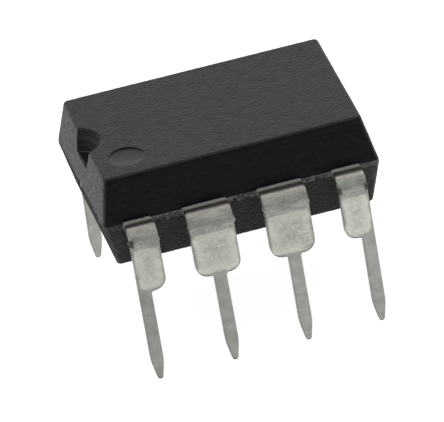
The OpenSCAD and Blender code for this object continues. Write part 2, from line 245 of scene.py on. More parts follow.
# Mottle of the filler, 0.35 mm across, and single dark and pale grains of 0.07 mm
mottle = add(tree, "ShaderNodeTexNoise", {"Vector": where, "Scale": 1 / (0.35 * MM), "Detail": 3.0})
grain = add(tree, "ShaderNodeTexNoise", {"Vector": where, "Scale": 1 / (0.09 * MM), "Detail": 2.0})
tone = add(tree, "ShaderNodeMix", {"Factor": 0.75, 2: mottle, 3: grain}, data_type="FLOAT")
even = add(tree, "ShaderNodeMath", {0: upper_side_polish_and_shade, 1: 0.7}, operation="MULTIPLY")
tone = add(tree, "ShaderNodeMix", {0: even, 2: tone, 3: 0.53}, data_type="FLOAT")
turning = add(tree, "ShaderNodeMapping", {"Vector": where, "Scale": (0.6 / MM, 0.6 / MM, 16 / MM)})
turning = add(tree, "ShaderNodeTexNoise", {"Vector": turning, "Scale": 1.0, "Detail": 2.0})
turning = add(tree, "ShaderNodeMapRange", {0: turning, 1: 0.35, 2: 0.65, 3: 0.42, 4: 0.62})
tone = add(tree, "ShaderNodeMix", {0: smooth, 2: tone, 3: turning}, data_type="FLOAT")
skin = add(tree, "ShaderNodeValToRGB", {"Fac": tone})
skin.color_ramp.elements[0].position, skin.color_ramp.elements[0].color = 0.4, linear("#060606")
skin.color_ramp.elements[1].position, skin.color_ramp.elements[1].color = 0.66, linear("#363636")

# Painted shade: the colour is darkened, down to a fifth, on the upper halves of the long sides and low in the notch
painted_side_and_notch_shade = add(tree, "ShaderNodeMath", {0: upper_side_polish_and_shade, 1: painted_notch_shade}, operation="MAXIMUM")
painted_side_and_notch_shade = add(tree, "ShaderNodeMapRange", {0: painted_side_and_notch_shade, 3: 1.0, 4: 0.2})
painted_side_and_notch_shade = add(tree, "ShaderNodeCombineXYZ", {0: painted_side_and_notch_shade, 1: painted_side_and_notch_shade, 2: painted_side_and_notch_shade})
skin = add(tree, "ShaderNodeMix", {0: 1.0, 6: skin.outputs[0], 7: painted_side_and_notch_shade}, data_type="RGBA", blend_type="MULTIPLY")
skin = skin.outputs[2]

# The rubbed band: full at the land's height on the long sides, gone 0.05 mm above and below it
height = add(tree, "ShaderNodeMath", {0: axes.outputs["Z"], 1: (FRAME_Z + PARTING_RISE) * MM},
             operation="SUBTRACT")
height = add(tree, "ShaderNodeMath", {0: height}, operation="ABSOLUTE")
band = add(tree, "ShaderNodeMapRange", {0: height, 1: 0.06 * MM, 2: 0.1 * MM, 3: 1.0, 4: 0.0})
side = add(tree, "ShaderNodeMath", {0: axes.outputs["Y"]}, operation="ABSOLUTE")
edge = add(tree, "ShaderNodeMapRange", {0: side, 1: (HALF_WIDTH - 0.12) * MM, 2: (HALF_WIDTH - 0.03) * MM})
side = add(tree, "ShaderNodeMapRange", {0: side, 1: (HALF_WIDTH - 0.45) * MM, 2: (HALF_WIDTH - 0.35) * MM})
band = add(tree, "ShaderNodeMath", {0: band, 1: edge}, operation="MULTIPLY")
ragged = add(tree, "ShaderNodeMapRange", {0: grain, 1: 0.3, 2: 0.55, 3: 0.5, 4: 1.0})
band = add(tree, "ShaderNodeMath", {0: band, 1: ragged}, operation="MULTIPLY")
less = add(tree, "ShaderNodeMapRange", {0: axes.outputs["X"], 1: -4.1 * MM, 2: -3.9 * MM, 3: 0.35, 4: 1.0})
band = add(tree, "ShaderNodeMath", {0: band, 1: less}, operation="MULTIPLY")
corner = add(tree, "ShaderNodeMath", {0: axes.outputs["X"]}, operation="ABSOLUTE")
corner = add(tree, "ShaderNodeMapRange", {0: corner, 1: 3.95 * MM, 2: 4.35 * MM, 3: 0.0, 4: 0.16})
lower = add(tree, "ShaderNodeMapRange", {0: axes.outputs["Z"], 1: (FRAME_Z + 0.02) * MM, 2: (FRAME_Z - 0.08) * MM})
bright = add(tree, "ShaderNodeMapRange", {0: axes.outputs["X"], 1: 4.3 * MM, 2: 4.6 * MM, 3: 0.0, 4: 0.2})
corner = add(tree, "ShaderNodeMath", {0: corner, 1: bright}, operation="ADD")
dust = add(tree, "ShaderNodeMath", {0: corner, 1: lower}, operation="MULTIPLY")
dust = add(tree, "ShaderNodeMath", {0: dust, 1: side}, operation="MULTIPLY")
dusty = add(tree, "ShaderNodeMapRange", {0: mottle, 1: 0.35, 2: 0.6, 3: 0.5, 4: 1.0})
dust = add(tree, "ShaderNodeMath", {0: dust, 1: dusty}, operation="MULTIPLY")
band = add(tree, "ShaderNodeMath", {0: band, 1: dust}, operation="MAXIMUM")
# Chipped filler shows as pale specks along the land of the two ends
tip_end = add(tree, "ShaderNodeMath", {0: axes.outputs["X"]}, operation="ABSOLUTE")
tip_end = add(tree, "ShaderNodeMapRange", {0: tip_end, 1: (HALF_LENGTH - 0.05) * MM, 2: (HALF_LENGTH - 0.02) * MM})
speck = add(tree, "ShaderNodeTexNoise", {"Vector": where, "Scale": 1 / (0.11 * MM), "Detail": 3.0})
speck = add(tree, "ShaderNodeMapRange", {0: speck, 1: 0.53, 2: 0.62, 3: 0.0, 4: 0.5})
speck = add(tree, "ShaderNodeMath", {0: speck, 1: tip_end}, operation="MULTIPLY")
narrow = add(tree, "ShaderNodeMapRange", {0: height, 1: 0.05 * MM, 2: 0.09 * MM, 3: 1.0, 4: 0.0})
speck = add(tree, "ShaderNodeMath", {0: speck, 1: narrow}, operation="MULTIPLY")
band = add(tree, "ShaderNodeMath", {0: band, 1: speck}, operation="MAXIMUM")
colour = add(tree, "ShaderNodeMix", {0: band, 6: skin, 7: linear("#8a8a82")}, data_type="RGBA")
tree.links.new(colour.outputs[2], shader.inputs["Base Color"])

# The ends are torn at the land, where the gate and the tie bars were cut, and stay rough below it
rough = add(tree, "ShaderNodeMapRange", {0: grain, 1: 0.34, 2: 0.66, 3: 0.34, 4: 0.65})
below = add(tree, "ShaderNodeMapRange", {0: axes.outputs["Z"], 1: (FRAME_Z + PARTING_RISE + 0.09) * MM,
                                         2: (FRAME_Z + PARTING_RISE + 0.05) * MM})
far = add(tree, "ShaderNodeMath", {0: axes.outputs["X"]}, operation="ABSOLUTE")
wide = add(tree, "ShaderNodeMath", {0: axes.outputs["Y"]}, operation="ABSOLUTE")
end = add(tree, "ShaderNodeMath", {0: far, 1: wide}, operation="SUBTRACT")
end = add(tree, "ShaderNodeMapRange", {0: end, 1: (HALF_LENGTH - HALF_WIDTH) * MM,
                                       2: (HALF_LENGTH - HALF_WIDTH + 0.05) * MM})
torn_end = add(tree, "ShaderNodeMath", {0: below, 1: end}, operation="MULTIPLY")
rough = add(tree, "ShaderNodeMix", {0: torn_end, 2: rough, 3: 1.0}, data_type="FLOAT")

notch_floor = add(tree, "ShaderNodeMapRange", {0: axes.outputs["Z"], 1: (FRAME_Z + BODY_ABOVE - NOTCH_DEPTH + 0.05) * MM,
                                               2: (FRAME_Z + BODY_ABOVE - NOTCH_DEPTH + 0.02) * MM})
pins.append(add(tree, "ShaderNodeMath", {0: pins[0], 1: notch_floor}, operation="MULTIPLY"))
pins.append(upper_side_polish_and_shade)
for pin, polish in zip(pins, (0.78, 0.32, 0.2, 0.42)):
    rough = add(tree, "ShaderNodeMix", {0: pin, 2: rough, 3: polish}, data_type="FLOAT")
tree.links.new(rough.outputs[0], shader.inputs["Roughness"])
calm = add(tree, "ShaderNodeMapRange", {0: upper_side_polish_and_shade, 3: 1.0, 4: 0.15})
grained = add(tree, "ShaderNodeMix", {0: smooth, 2: calm, 3: 0.1}, data_type="FLOAT")
coarse = add(tree, "ShaderNodeMapRange", {0: drawn_in, 3: 0.075 * MM, 4: 0.05 * MM})
bump = add(tree, "ShaderNodeBump", {"Strength": grained, "Distance": coarse, "Height": grain})
tree.links.new(bump.outputs[0], shader.inputs["Normal"])
print("epoxy nodes:", len(tree.nodes))

# %% [markdown]
# ## The body's shell
# A transfer-moulded body is two drafted halves that meet at the parting band. It could be a cube with
# bevels, but then the band, the four different drafts and the even grain would be hard to reach. Here
# it is lofted: rounded rectangles are stacked from the underside to the top face, each a little larger
# or smaller by the draft, and both ends are filled with an even net of small triangles. The net is
# fine enough, at 0.06 mm, to carry the grain of the mould as real relief.

# %% Rounded rectangles for the loft
NET = 0.06
CORNER_STEPS = 8


def rounded_rectangle(half_x, half_y, radius, net=NET):
    """Points of a rounded rectangle, anticlockwise. The count depends only on the body's size."""
    count_x = round(2 * (HALF_LENGTH - CORNER_RADIUS) / net)
    count_y = round(2 * (HALF_WIDTH - CORNER_RADIUS) / net)
    cx, cy = half_x - radius, half_y - radius
    corners = [(cx, cy, 0, count_x), (-cx, cy, 90, count_y), (-cx, -cy, 180, count_x), (cx, -cy, 270, count_y)]
    ring = []
    for k, (x, y, start, count) in enumerate(corners):
        for step in range(CORNER_STEPS + 1):
            a = math.radians(start + 90 * step / CORNER_STEPS)
            ring.append((x + radius * math.cos(a), y + radius * math.sin(a)))
        nx, ny, turn, _ = corners[(k + 1) % 4]
        a = math.radians(turn)
        first, last = ring[-1], (nx + radius * math.cos(a), ny + radius * math.sin(a))
        for step in range(1, count):
            t = step / count
            ring.append((first[0] + t * (last[0] - first[0]), first[1] + t * (last[1] - first[1])))
    return ring


def reach(half, height, draft, level):
    """Half size of a drafted side at a level above the land's middle, with its rounded edge."""
    slope = math.tan(math.radians(draft))
    edge = half - (height - HALF_LAND) * slope + EDGE_RADIUS * (1 + slope - 1 / math.cos(math.radians(draft)))
    centre, start = edge - EDGE_RADIUS, height - EDGE_RADIUS
    if level <= HALF_LAND:
        return half
    if level <= start + EDGE_RADIUS * math.sin(math.radians(draft)):
        return half - (level - HALF_LAND) * slope
    return centre + math.sqrt(max(0, EDGE_RADIUS ** 2 - (level - start) ** 2))


def half_body(height, side_draft, end_draft):
    """(level, ring) pairs from the land's edge to the flat face of one half of the moulding."""
    start = height - EDGE_RADIUS
    rows = round((start - HALF_LAND) / NET)
    levels = [HALF_LAND + (start - HALF_LAND) * k / rows for k in range(rows + 1)]
    levels += [start + EDGE_RADIUS * math.sin(math.radians(a)) for a in (15, 30, 45, 60, 72, 82, 90)]
    rings = []
    for level in levels:
        radius = CORNER_RADIUS
        if level > start:
            radius += math.sqrt(max(0, EDGE_RADIUS ** 2 - (level - start) ** 2)) - EDGE_RADIUS
        rings.append((level, rounded_rectangle(reach(HALF_LENGTH, height, end_draft, level),
                                               reach(HALF_WIDTH, height, side_draft, level), radius)))
    return rings


upper = half_body(BODY_ABOVE - PARTING_RISE, UPPER_SIDE_DRAFT, UPPER_END_DRAFT)
lower = half_body(BODY_BELOW + PARTING_RISE, LOWER_SIDE_DRAFT, LOWER_END_DRAFT)
land = [(0, rounded_rectangle(HALF_LENGTH, HALF_WIDTH, CORNER_RADIUS))]
stack = [(-level, ring) for level, ring in reversed(lower)] + land + upper
around = len(stack[0][1])
print(f"{len(stack)} rings of {around} points")

# %% [markdown]
# The flat faces are filled by a Delaunay triangulation of a honeycomb of points, which leaves no long
# triangles. The relief is noise along each point's normal: fine grain of 0.15 mm and a slow wave of
# 1.2 mm, a few thousandths of a millimetre high, as a worn electrode leaves them.

# %% Fill, stack and roughen the shell
def fill(ring, net=NET):
    """Inner points and triangles that fill a rounded rectangle. The ring's points come first."""
    ring = np.array(ring)
    hx, hy = ring[:, 0].max() - 0.6 * net, ring[:, 1].max() - 0.6 * net
    corner = 0.14
    rows = np.arange(-hy, hy, net * math.sqrt(3) / 2)
    inner = np.array([(x + (k % 2) * net / 2, y) for k, y in enumerate(rows) for x in np.arange(-hx, hx, net)])
    q = np.abs(inner) - (np.array([hx, hy]) - corner)
    inner = inner[np.hypot(*np.maximum(q, 0).T) + np.minimum(q.max(1), 0) < corner]
    count = len(ring)
    result = geometry.delaunay_2d_cdt([Vector(p) for p in np.vstack([ring, inner])],
                                      [(k, (k + 1) % count) for k in range(count)], [], 1, 1e-7)
    assert len(result[0]) == count + len(inner)
    return inner, [tuple(f) for f in result[2]]


def relief(points, normals, grain_height, seed):
    """Moves points along their normals by two sizes of noise."""
    moved = []
    for p, n in zip(points, normals):
        v = Vector(p)
        fine = 0.6 * noise.noise(v / 0.15 + Vector((seed, 0, 0))) + noise.noise(v / 0.09 + Vector((0, seed, 0)))
        moved.append(v + Vector(n) * (grain_height * fine + 0.002 * noise.noise(v / 1.2)))
    return np.array(moved)


points = [(x, y, level + PARTING_RISE + FRAME_Z) for level, ring in stack for x, y in ring]
faces = []
for k in range(len(stack) - 1):
    for j in range(around):
        a, b = k * around + j, k * around + (j + 1) % around
        faces.append((a, b, b + around, a + around))
for ring_index, sign in ((0, -1), (len(stack) - 1, 1)):
    inner, triangles = fill(stack[ring_index][1])
    base, first = ring_index * around, len(points)
    z = stack[ring_index][0] + PARTING_RISE + FRAME_Z
    points += [(x, y, z) for x, y in inner]
    for triangle in triangles:
        ids = [base + i if i < around else first + i - around for i in triangle]
        faces.append(ids if sign > 0 else ids[::-1])
shell = make_mesh("moulded_body", points, faces, epoxy)
normals = np.empty(len(shell.data.vertices) * 3)
shell.data.vertices.foreach_get("normal", normals)
GRAIN_HEIGHT = 0.006
moved = relief(points, normals.reshape(-1, 3), GRAIN_HEIGHT, 3.0)
shell.data.vertices.foreach_set("co", (moved * MM).ravel())
shell.data.update()
print(f"shell: {len(points)} points, {len(faces)} faces")

# %% [markdown]
# ## Notch, dimple and ejector marks
# In the mould these are small pins that stand up from its face, turned on a lathe, so each cutter is a
# turned profile too. The profile has the small fillets that a turned pin has: one where the wall meets
# the floor, and one that rounds the rim. Boolean modifiers press the cutters into the shell. The
# Manifold solver does this in an instant, because every solid here is closed.

# %% Turned cutters
def turned(name, profile, centre, steps, flip=False):
    """A closed solid of revolution from (radius, height) pairs that begin and end on the axis."""
    x, y, z = centre
    sign = -1 if flip else 1
    rim = profile[1:-1]
    points = [(x, y, z + sign * profile[0][1]), (x, y, z + sign * profile[-1][1])]
    for r, h in rim:
        points += [(x + r * math.cos(t), y + r * math.sin(t), z + sign * h)
                   for t in np.linspace(0, 2 * math.pi, steps, endpoint=False)]
    faces = []
    for j in range(steps):
        n = (j + 1) % steps
        faces.append((0, 2 + n, 2 + j))
        faces += [(2 + k * steps + j, 2 + k * steps + n, 2 + (k + 1) * steps + n, 2 + (k + 1) * steps + j)
                  for k in range(len(rim) - 1)]
        top = 2 + (len(rim) - 1) * steps
        faces.append((1, top + j, top + n))
    if flip:
        faces = [f[::-1] for f in faces]
    return make_mesh(name, points, faces, epoxy)


def pocket(radius, depth, draft, fillet, rim, above=0.3, dish=0.0):
    """Profile of a pin's end: floor, fillet, drafted wall, and a rim that flares at height 0."""
    slope = math.tan(math.radians(draft))
    foot = radius - depth * slope
    arc = [(foot - fillet + fillet * math.sin(a), -depth + fillet - fillet * math.cos(a))
           for a in np.radians((0, 22, 45, 68, 90 - draft))]
    floor = [(r * (foot - fillet), -depth - dish * (1 - r * r)) for r in np.linspace(0, 1, 9)[:-1]]
    flare = [(radius + rim * (1 - math.cos(a)), -rim * (1 - math.sin(a)) + 0.004) for a in np.radians((0, 30, 60, 90))]
    wall = [(radius - slope * -h, h) for h in np.linspace(-depth + 1.2 * fillet, -1.2 * rim, max(2, round(depth / 0.06)))]
    edge = radius + rim
    return floor + arc + wall + flare + [(edge, above), (0, above)]


top, underside = FRAME_Z + BODY_ABOVE, FRAME_Z - BODY_BELOW
cutters = [
    turned("notch_pin", pocket(NOTCH_RADIUS, NOTCH_DEPTH, NOTCH_DRAFT, 0.025, 0.03),
           (NOTCH_INSET - HALF_LENGTH, 0, top), 128),
    turned("dimple_pin", pocket(DIMPLE_RADIUS, DIMPLE_DEPTH, 3, 0.02, 0.015, dish=0.065),
           (DIMPLE_FROM_END - HALF_LENGTH, DIMPLE_FROM_SIDE - HALF_WIDTH, top), 96),
]
for side in (-1, 1):
    cutters.append(turned("ejector_pin", pocket(EJECTOR_RADIUS, EJECTOR_DEPTH, 1, 0.01, 0.01),
                          (side * EJECTOR_SPACING / 2, 0, underside), 96, flip=True))
print("cutters:", [c.name for c in cutters])

# %% [markdown]
# The moulding also has the room that its insert fills: the lead frame, the die and the wires were in the
# mould when the resin came. Copies of those CAD solids cut the shell too, after their loose triangles
# are merged, so this body has the same hollow as the CAD body, and the cut tie bars show in its ends.

# %% Room for the insert
def cad_copy(node):
    """A closed copy of a CAD node, to cut with."""
    mesh = frame["nodes"][node].data.copy()
    work = bmesh.new()
    work.from_mesh(mesh)
    bmesh.ops.remove_doubles(work, verts=work.verts, dist=1e-8)
    work.to_mesh(mesh)
    work.free()
    copy = bpy.data.objects.new(node + "_cutter", mesh)
    root.objects.link(copy)
    if node.startswith("lead"):
        copy.location.x = LEAD_SHIFT * MM
    return copy


insert = [n for n in sorted(frame["nodes"]) if n != "body"]
cutters += [cad_copy(n) for n in insert]
for side in (-1, 1):
    x0, x1 = sorted((side * (HALF_LENGTH - TIE_SETBACK), side * (HALF_LENGTH + TIE_SETBACK)))
    corners = [(x, y, FRAME_Z + z) for x in (x0, x1) for y in (-TIE_WIDTH / 2, TIE_WIDTH / 2)
               for z in (-SHEET / 2, SHEET / 2)]
    cutters.append(make_mesh("tie_slot", corners, [(0, 1, 3, 2), (4, 6, 7, 5), (0, 4, 5, 1), (2, 3, 7, 6),
                                                   (0, 2, 6, 4), (1, 5, 7, 3)], epoxy))

before = len(shell.data.polygons)
for cutter in cutters:
    cut = shell.modifiers.new(cutter.name, "BOOLEAN")
    cut.operation, cut.solver, cut.object = "DIFFERENCE", "MANIFOLD", cutter
body_mesh = bpy.data.meshes.new_from_object(shell.evaluated_get(bpy.context.evaluated_depsgraph_get()))
shell.modifiers.clear()
shell.data = body_mesh
for cutter in cutters:
    bpy.data.objects.remove(cutter)
work = bmesh.new()
work.from_mesh(body_mesh)
open_edges = sum(not e.is_manifold for e in work.edges)
volume = work.calc_volume() / MM ** 3
work.free()
print(f"body: {before} to {len(body_mesh.polygons)} faces, {open_edges} open edges, {volume:.2f} mm3")

# %% [markdown]
# ## Tin plate that has been bent and trimmed
# The leads are copper alloy sheet under about 10 micrometres of matt tin. Tin is soft, so each tool
# leaves its own finish. The blades lie flat against the forming tool, which burnishes them bright. The
# bend is rubbed brown-grey by the roller, with fine streaks across it. The flat stretch by the body is
# smooth and mirrors the black moulding, apart from a matt strip that the mould held. The narrow pins
# stay as they were plated, an even grey. The punch that cut the tie bar leaves dark smears by its stubs.
# All of that follows the sheet, so the pattern reads the lead's own UV maps, in millimetres. In "sheet", U runs across the sheet and V along it, from the middle of the
# body outwards. In "blade", U is the distance inwards from the outline of the blade.

# %% Material of the leads
RUN_MATT_END = 3.385
BEND_START, BEND_END = BEND_OUT, BEND_OUT + OUTER_BEND * BEND_SWEEP
CREASE = BEND_END + TRIM_LENGTH
BLADE_END = CREASE + (SHOULDER_DROP - CREASE_DOWN) / math.cos(SPLAY)
TIP = CREASE + (FRAME_Z - CREASE_DOWN) / math.cos(SPLAY)

tin = bpy.data.materials.new("matt_tin_plate")
tin.use_nodes = True
tree = tin.node_tree
shader = tree.nodes["Principled BSDF"]
shader.inputs["Metallic"].default_value = 1.0
where = add(tree, "ShaderNodeTexCoord").outputs["Object"]
sheet_map = add(tree, "ShaderNodeUVMap", uv_map="sheet")
along = add(tree, "ShaderNodeSeparateXYZ", {0: sheet_map})
inset = add(tree, "ShaderNodeSeparateXYZ", {0: add(tree, "ShaderNodeUVMap", uv_map="blade")}).outputs["X"]

# Cloud of wear, 0.3 mm across and different on every lead, and the crystals of the tin, 0.05 mm
cloud = add(tree, "ShaderNodeTexNoise", {"Vector": where, "Scale": 1 / (0.3 * MM), "Detail": 4.0})
crystal = add(tree, "ShaderNodeTexNoise", {"Vector": where, "Scale": 1 / (0.05 * MM), "Detail": 2.0})
# Marks that the roller leaves across the sheet: about 0.4 mm long and 0.1 mm apart
stretched = add(tree, "ShaderNodeMapping", {"Vector": where, "Scale": (3.2, 13, 13)})
streak = add(tree, "ShaderNodeTexNoise", {"Vector": stretched, "Scale": 1 / MM, "Detail": 4.0, "Roughness": 0.6})

# One ramp holds the finish along the sheet, and some painted light on the bend: its positions are millimetres from the
# body's middle
SPAN_START, SPAN_END = 3.0, 10.0
waved = add(tree, "ShaderNodeMath", {0: cloud, 1: 0.1, 2: along.outputs["Y"]}, operation="MULTIPLY_ADD")
spot = add(tree, "ShaderNodeSeparateXYZ", {0: where}).outputs
# Towards lead 4 the bend's colour stops move down the sheet, so that its painted highlight begins further from the body
later = add(tree, "ShaderNodeMapRange", {0: spot["X"], 1: -4 * MM, 2: 4 * MM, 3: 0.02, 4: 0.1})
waved = add(tree, "ShaderNodeMath", {0: waved, 1: later}, operation="SUBTRACT")
past_crease = add(tree, "ShaderNodeMapRange", {0: along.outputs["Y"], 1: CREASE - 0.01, 2: CREASE + 0.01})
in_bend = add(tree, "ShaderNodeMapRange", {0: along.outputs["Y"], 1: BEND_START, 2: BEND_START + 0.1})
bend_only = add(tree, "ShaderNodeMath", {0: in_bend, 1: past_crease}, operation="SUBTRACT")
at = add(tree, "ShaderNodeMix", {0: bend_only, 2: along.outputs["Y"], 3: waved}, data_type="FLOAT")
ramp_at = add(tree, "ShaderNodeMapRange", {0: at, 1: SPAN_START, 2: SPAN_END})
# Along the bend the stops are partly painted light: the pale stops near its start paint the highlight of the lamp
# above, and the middle is lighter to offset the dark card that the bend reflects
finish_and_painted_light_along = [
    (3.10, "#aaa9a3", 0.85), (RUN_MATT_END - 0.03, "#aaa9a3", 0.85), (RUN_MATT_END + 0.03, "#918c84", 0.37),
    (BEND_START - 0.02, "#918c84", 0.35), (BEND_START + 0.04, "#b1ada5", 0.42), (BEND_START + 0.1, "#bfbbb3", 0.46),
    (BEND_START + 0.16, "#aeaaa3", 0.5), (BEND_START + 0.22, "#9f9c95", 0.54), (BEND_START + 0.3, "#9d9c95", 0.6),
    (BEND_START + 0.42, "#aeaea7", 0.7), (BEND_START + 0.55, "#b0b1ab", 0.72), (BEND_END - 0.04, "#a2a39d", 0.64),
    (CREASE - 0.01, "#93958f", 0.5), (CREASE + 0.01, "#9c9d97", 0.46), (TIP, "#9c9d97", 0.46),
]
colour = add(tree, "ShaderNodeValToRGB", {"Fac": ramp_at})
rough = add(tree, "ShaderNodeValToRGB", {"Fac": ramp_at})
for ramp, column in ((colour.color_ramp, 1), (rough.color_ramp, 2)):
    while len(ramp.elements) < len(finish_and_painted_light_along):
        ramp.elements.new(1.0)
    for element, row in zip(ramp.elements, finish_and_painted_light_along):
        element.position = (row[0] - SPAN_START) / (SPAN_END - SPAN_START)
        element.color = linear(row[1]) if column == 1 else (row[2],) * 3 + (1,)

# The forming tool burnishes the blade up to 0.07 mm from its outline, and less in its hollow middle
# The rim outside it keeps the ramp's darker colour, as painted shade for the darker things that its rolled edge
# reflects
wobbly = add(tree, "ShaderNodeMath", {0: cloud, 1: 0.16, 2: inset}, operation="MULTIPLY_ADD")
burnish_and_rim_shade = add(tree, "ShaderNodeMapRange", {0: wobbly, 1: 0.1, 2: 0.19})
burnish_and_rim_shade = add(tree, "ShaderNodeMath", {0: burnish_and_rim_shade, 1: past_crease}, operation="MULTIPLY")
colour = add(tree, "ShaderNodeMix", {0: burnish_and_rim_shade, 6: colour, 7: linear("#bcbdb3")}, data_type="RGBA")
rough = add(tree, "ShaderNodeMix", {0: burnish_and_rim_shade, 2: rough, 3: 0.40}, data_type="FLOAT")
wobbly = add(tree, "ShaderNodeMath", {0: cloud, 1: 0.8, 2: inset}, operation="MULTIPLY_ADD")
hollow = add(tree, "ShaderNodeMapRange", {0: wobbly, 1: 0.6, 2: 0.88})
hollow = add(tree, "ShaderNodeMath", {0: hollow, 1: past_crease}, operation="MULTIPLY")
drawn = add(tree, "ShaderNodeMapping", {"Vector": sheet_map, "Scale": (7, 5, 1)})
rubbed = add(tree, "ShaderNodeTexNoise", {"Vector": drawn, "Scale": 1.0, "Detail": 6.0, "Roughness": 0.75})
rubbed = add(tree, "ShaderNodeMapRange", {0: rubbed, 1: 0.38, 2: 0.62, 3: 0.68, 4: 0.97})
hollow_shade = add(tree, "ShaderNodeMix", {0: hollow, 2: 1.03, 3: rubbed}, data_type="FLOAT")

# Streaks darken the bend only, and handling leaves fine pale scratches across the blade
streak_dark = add(tree, "ShaderNodeMapRange", {0: streak, 1: 0.34, 2: 0.6, 3: 0.8, 4: 1.1})
streaked = add(tree, "ShaderNodeMix", {0: bend_only, 2: 1.0, 3: streak_dark}, data_type="FLOAT")
drawn = add(tree, "ShaderNodeMapping", {"Vector": where, "Scale": (2.2, 24, 24)})
scratch = add(tree, "ShaderNodeTexNoise", {"Vector": drawn, "Scale": 1 / MM, "Detail": 1.0})
scratch = add(tree, "ShaderNodeMapRange", {0: scratch, 1: 0.62, 2: 0.68})
scratch = add(tree, "ShaderNodeMath", {0: scratch, 1: burnish_and_rim_shade}, operation="MULTIPLY")
scratch_light = add(tree, "ShaderNodeMapRange", {0: scratch, 3: 1.0, 4: 1.1})
# Below the crease the blade is duller, and deeper scratches run in from the right edge of lead 3
below_crease = add(tree, "ShaderNodeMapRange", {0: along.outputs["Y"], 1: CREASE + 0.03, 2: CREASE + 0.22, 3: 0.84, 4: 1.0})
below_crease = add(tree, "ShaderNodeMix", {0: past_crease, 2: 1.0, 3: below_crease}, data_type="FLOAT")
deep = add(tree, "ShaderNodeMapping", {"Vector": where, "Scale": (1.2, 16, 16)})
deep = add(tree, "ShaderNodeTexNoise", {"Vector": deep, "Scale": 1 / MM, "Detail": 2.0})
deep = add(tree, "ShaderNodeMapRange", {0: deep, 1: 0.55, 2: 0.61, 3: 1.0, 4: 0.66})
edge_near = add(tree, "ShaderNodeMath", {0: spot["X"], 1: 1.9 * MM}, operation="SUBTRACT")
edge_near = add(tree, "ShaderNodeMath", {0: edge_near}, operation="ABSOLUTE")
edge_near = add(tree, "ShaderNodeMapRange", {0: edge_near, 1: 0.45 * MM, 2: 0.15 * MM})
lower_down = add(tree, "ShaderNodeMapRange", {0: along.outputs["Y"], 1: CREASE + 0.35, 2: CREASE + 0.55})
edge_near = add(tree, "ShaderNodeMath", {0: edge_near, 1: lower_down}, operation="MULTIPLY")
deep = add(tree, "ShaderNodeMix", {0: edge_near, 2: 1.0, 3: deep}, data_type="FLOAT")
# The whole blade of lead 3 is worn with them
worn = add(tree, "ShaderNodeMath", {0: spot["X"], 1: LEAD_PITCH / 2 * MM}, operation="SUBTRACT")
worn = add(tree, "ShaderNodeMath", {0: worn}, operation="ABSOLUTE")
worn = add(tree, "ShaderNodeMapRange", {0: worn, 1: 1.1 * MM, 2: 0.9 * MM, 3: 0.0, 4: 0.07})
worn_down = add(tree, "ShaderNodeMapRange", {0: along.outputs["Y"], 1: CREASE, 2: CREASE + 0.15})
worn_pin = add(tree, "ShaderNodeMapRange", {0: along.outputs["Y"], 1: BLADE_END, 2: BLADE_END + 0.15,
                                            3: 1.0, 4: 0.0})
worn_down = add(tree, "ShaderNodeMath", {0: worn_down, 1: worn_pin}, operation="MULTIPLY")
worn = add(tree, "ShaderNodeMath", {0: worn, 1: worn_down}, operation="MULTIPLY")
worn = add(tree, "ShaderNodeMath", {0: 1.0, 1: worn}, operation="SUBTRACT")
dulled = add(tree, "ShaderNodeMapRange", {0: cloud, 1: 0.35, 2: 0.65, 3: 0.94, 4: 1.04})
flecks = add(tree, "ShaderNodeMapRange", {0: crystal, 1: 0.3, 2: 0.7, 3: 0.92, 4: 1.08})
back_row = add(tree, "ShaderNodeMapRange", {0: spot["Y"], 1: 0.0, 2: 1 * MM, 3: 1.0, 4: 1.12})
along_row = add(tree, "ShaderNodeMapRange", {0: spot["X"], 1: -4 * MM, 2: 4 * MM, 3: 0.95, 4: 1.05})
along_row = add(tree, "ShaderNodeMix", {0: past_crease, 2: 1.0, 3: along_row}, data_type="FLOAT")
# The pins of the near row are darker the further they are from lead 3
in_pin = add(tree, "ShaderNodeMapRange", {0: along.outputs["Y"], 1: BLADE_END, 2: BLADE_END + 0.15})
front_row = add(tree, "ShaderNodeMapRange", {0: spot["Y"], 1: 0.0, 2: 1 * MM, 3: 1.0, 4: 0.0})
in_pin = add(tree, "ShaderNodeMath", {0: in_pin, 1: front_row}, operation="MULTIPLY")
pin_away = add(tree, "ShaderNodeMath", {0: spot["X"], 1: LEAD_PITCH / 2 * MM}, operation="SUBTRACT")
pin_away = add(tree, "ShaderNodeMath", {0: pin_away}, operation="ABSOLUTE")
pin_away = add(tree, "ShaderNodeMapRange", {0: pin_away, 1: 0.0, 2: 2 * LEAD_PITCH * MM, 3: 1.0, 4: 0.9})
pin_shade = add(tree, "ShaderNodeMix", {0: in_pin, 2: 1.0, 3: pin_away}, data_type="FLOAT")

# The punch that cut the tie bar smeared dark marks beside three of the stubs
STUB_AT = (BEND_END + BEND_START + OUTER_BEND * 1.37) / 2
height = add(tree, "ShaderNodeMath", {0: along.outputs["Y"], 1: STUB_AT}, operation="SUBTRACT")
height = add(tree, "ShaderNodeMath", {0: height}, operation="ABSOLUTE")
smear = 0.0
for x, wide in ((-4.04, 0.16), (4.02, 0.17), (3.04, 0.13)):
    gone = add(tree, "ShaderNodeMath", {0: spot["X"], 1: x * MM}, operation="SUBTRACT")
    gone = add(tree, "ShaderNodeMath", {0: gone}, operation="ABSOLUTE")
    gone = add(tree, "ShaderNodeMapRange", {0: gone, 1: wide * MM, 2: wide * 0.5 * MM})
    smear = add(tree, "ShaderNodeMath", {0: gone, 1: smear}, operation="MAXIMUM")
height = add(tree, "ShaderNodeMapRange", {0: height, 1: 0.2, 2: 0.1})
smear = add(tree, "ShaderNodeMath", {0: smear, 1: height}, operation="MULTIPLY")
smeared = add(tree, "ShaderNodeMapRange", {0: streak, 1: 0.38, 2: 0.5})
smear = add(tree, "ShaderNodeMath", {0: smear, 1: smeared}, operation="MULTIPLY")
smear = add(tree, "ShaderNodeMapRange", {0: smear, 3: 1.0, 4: 0.22})
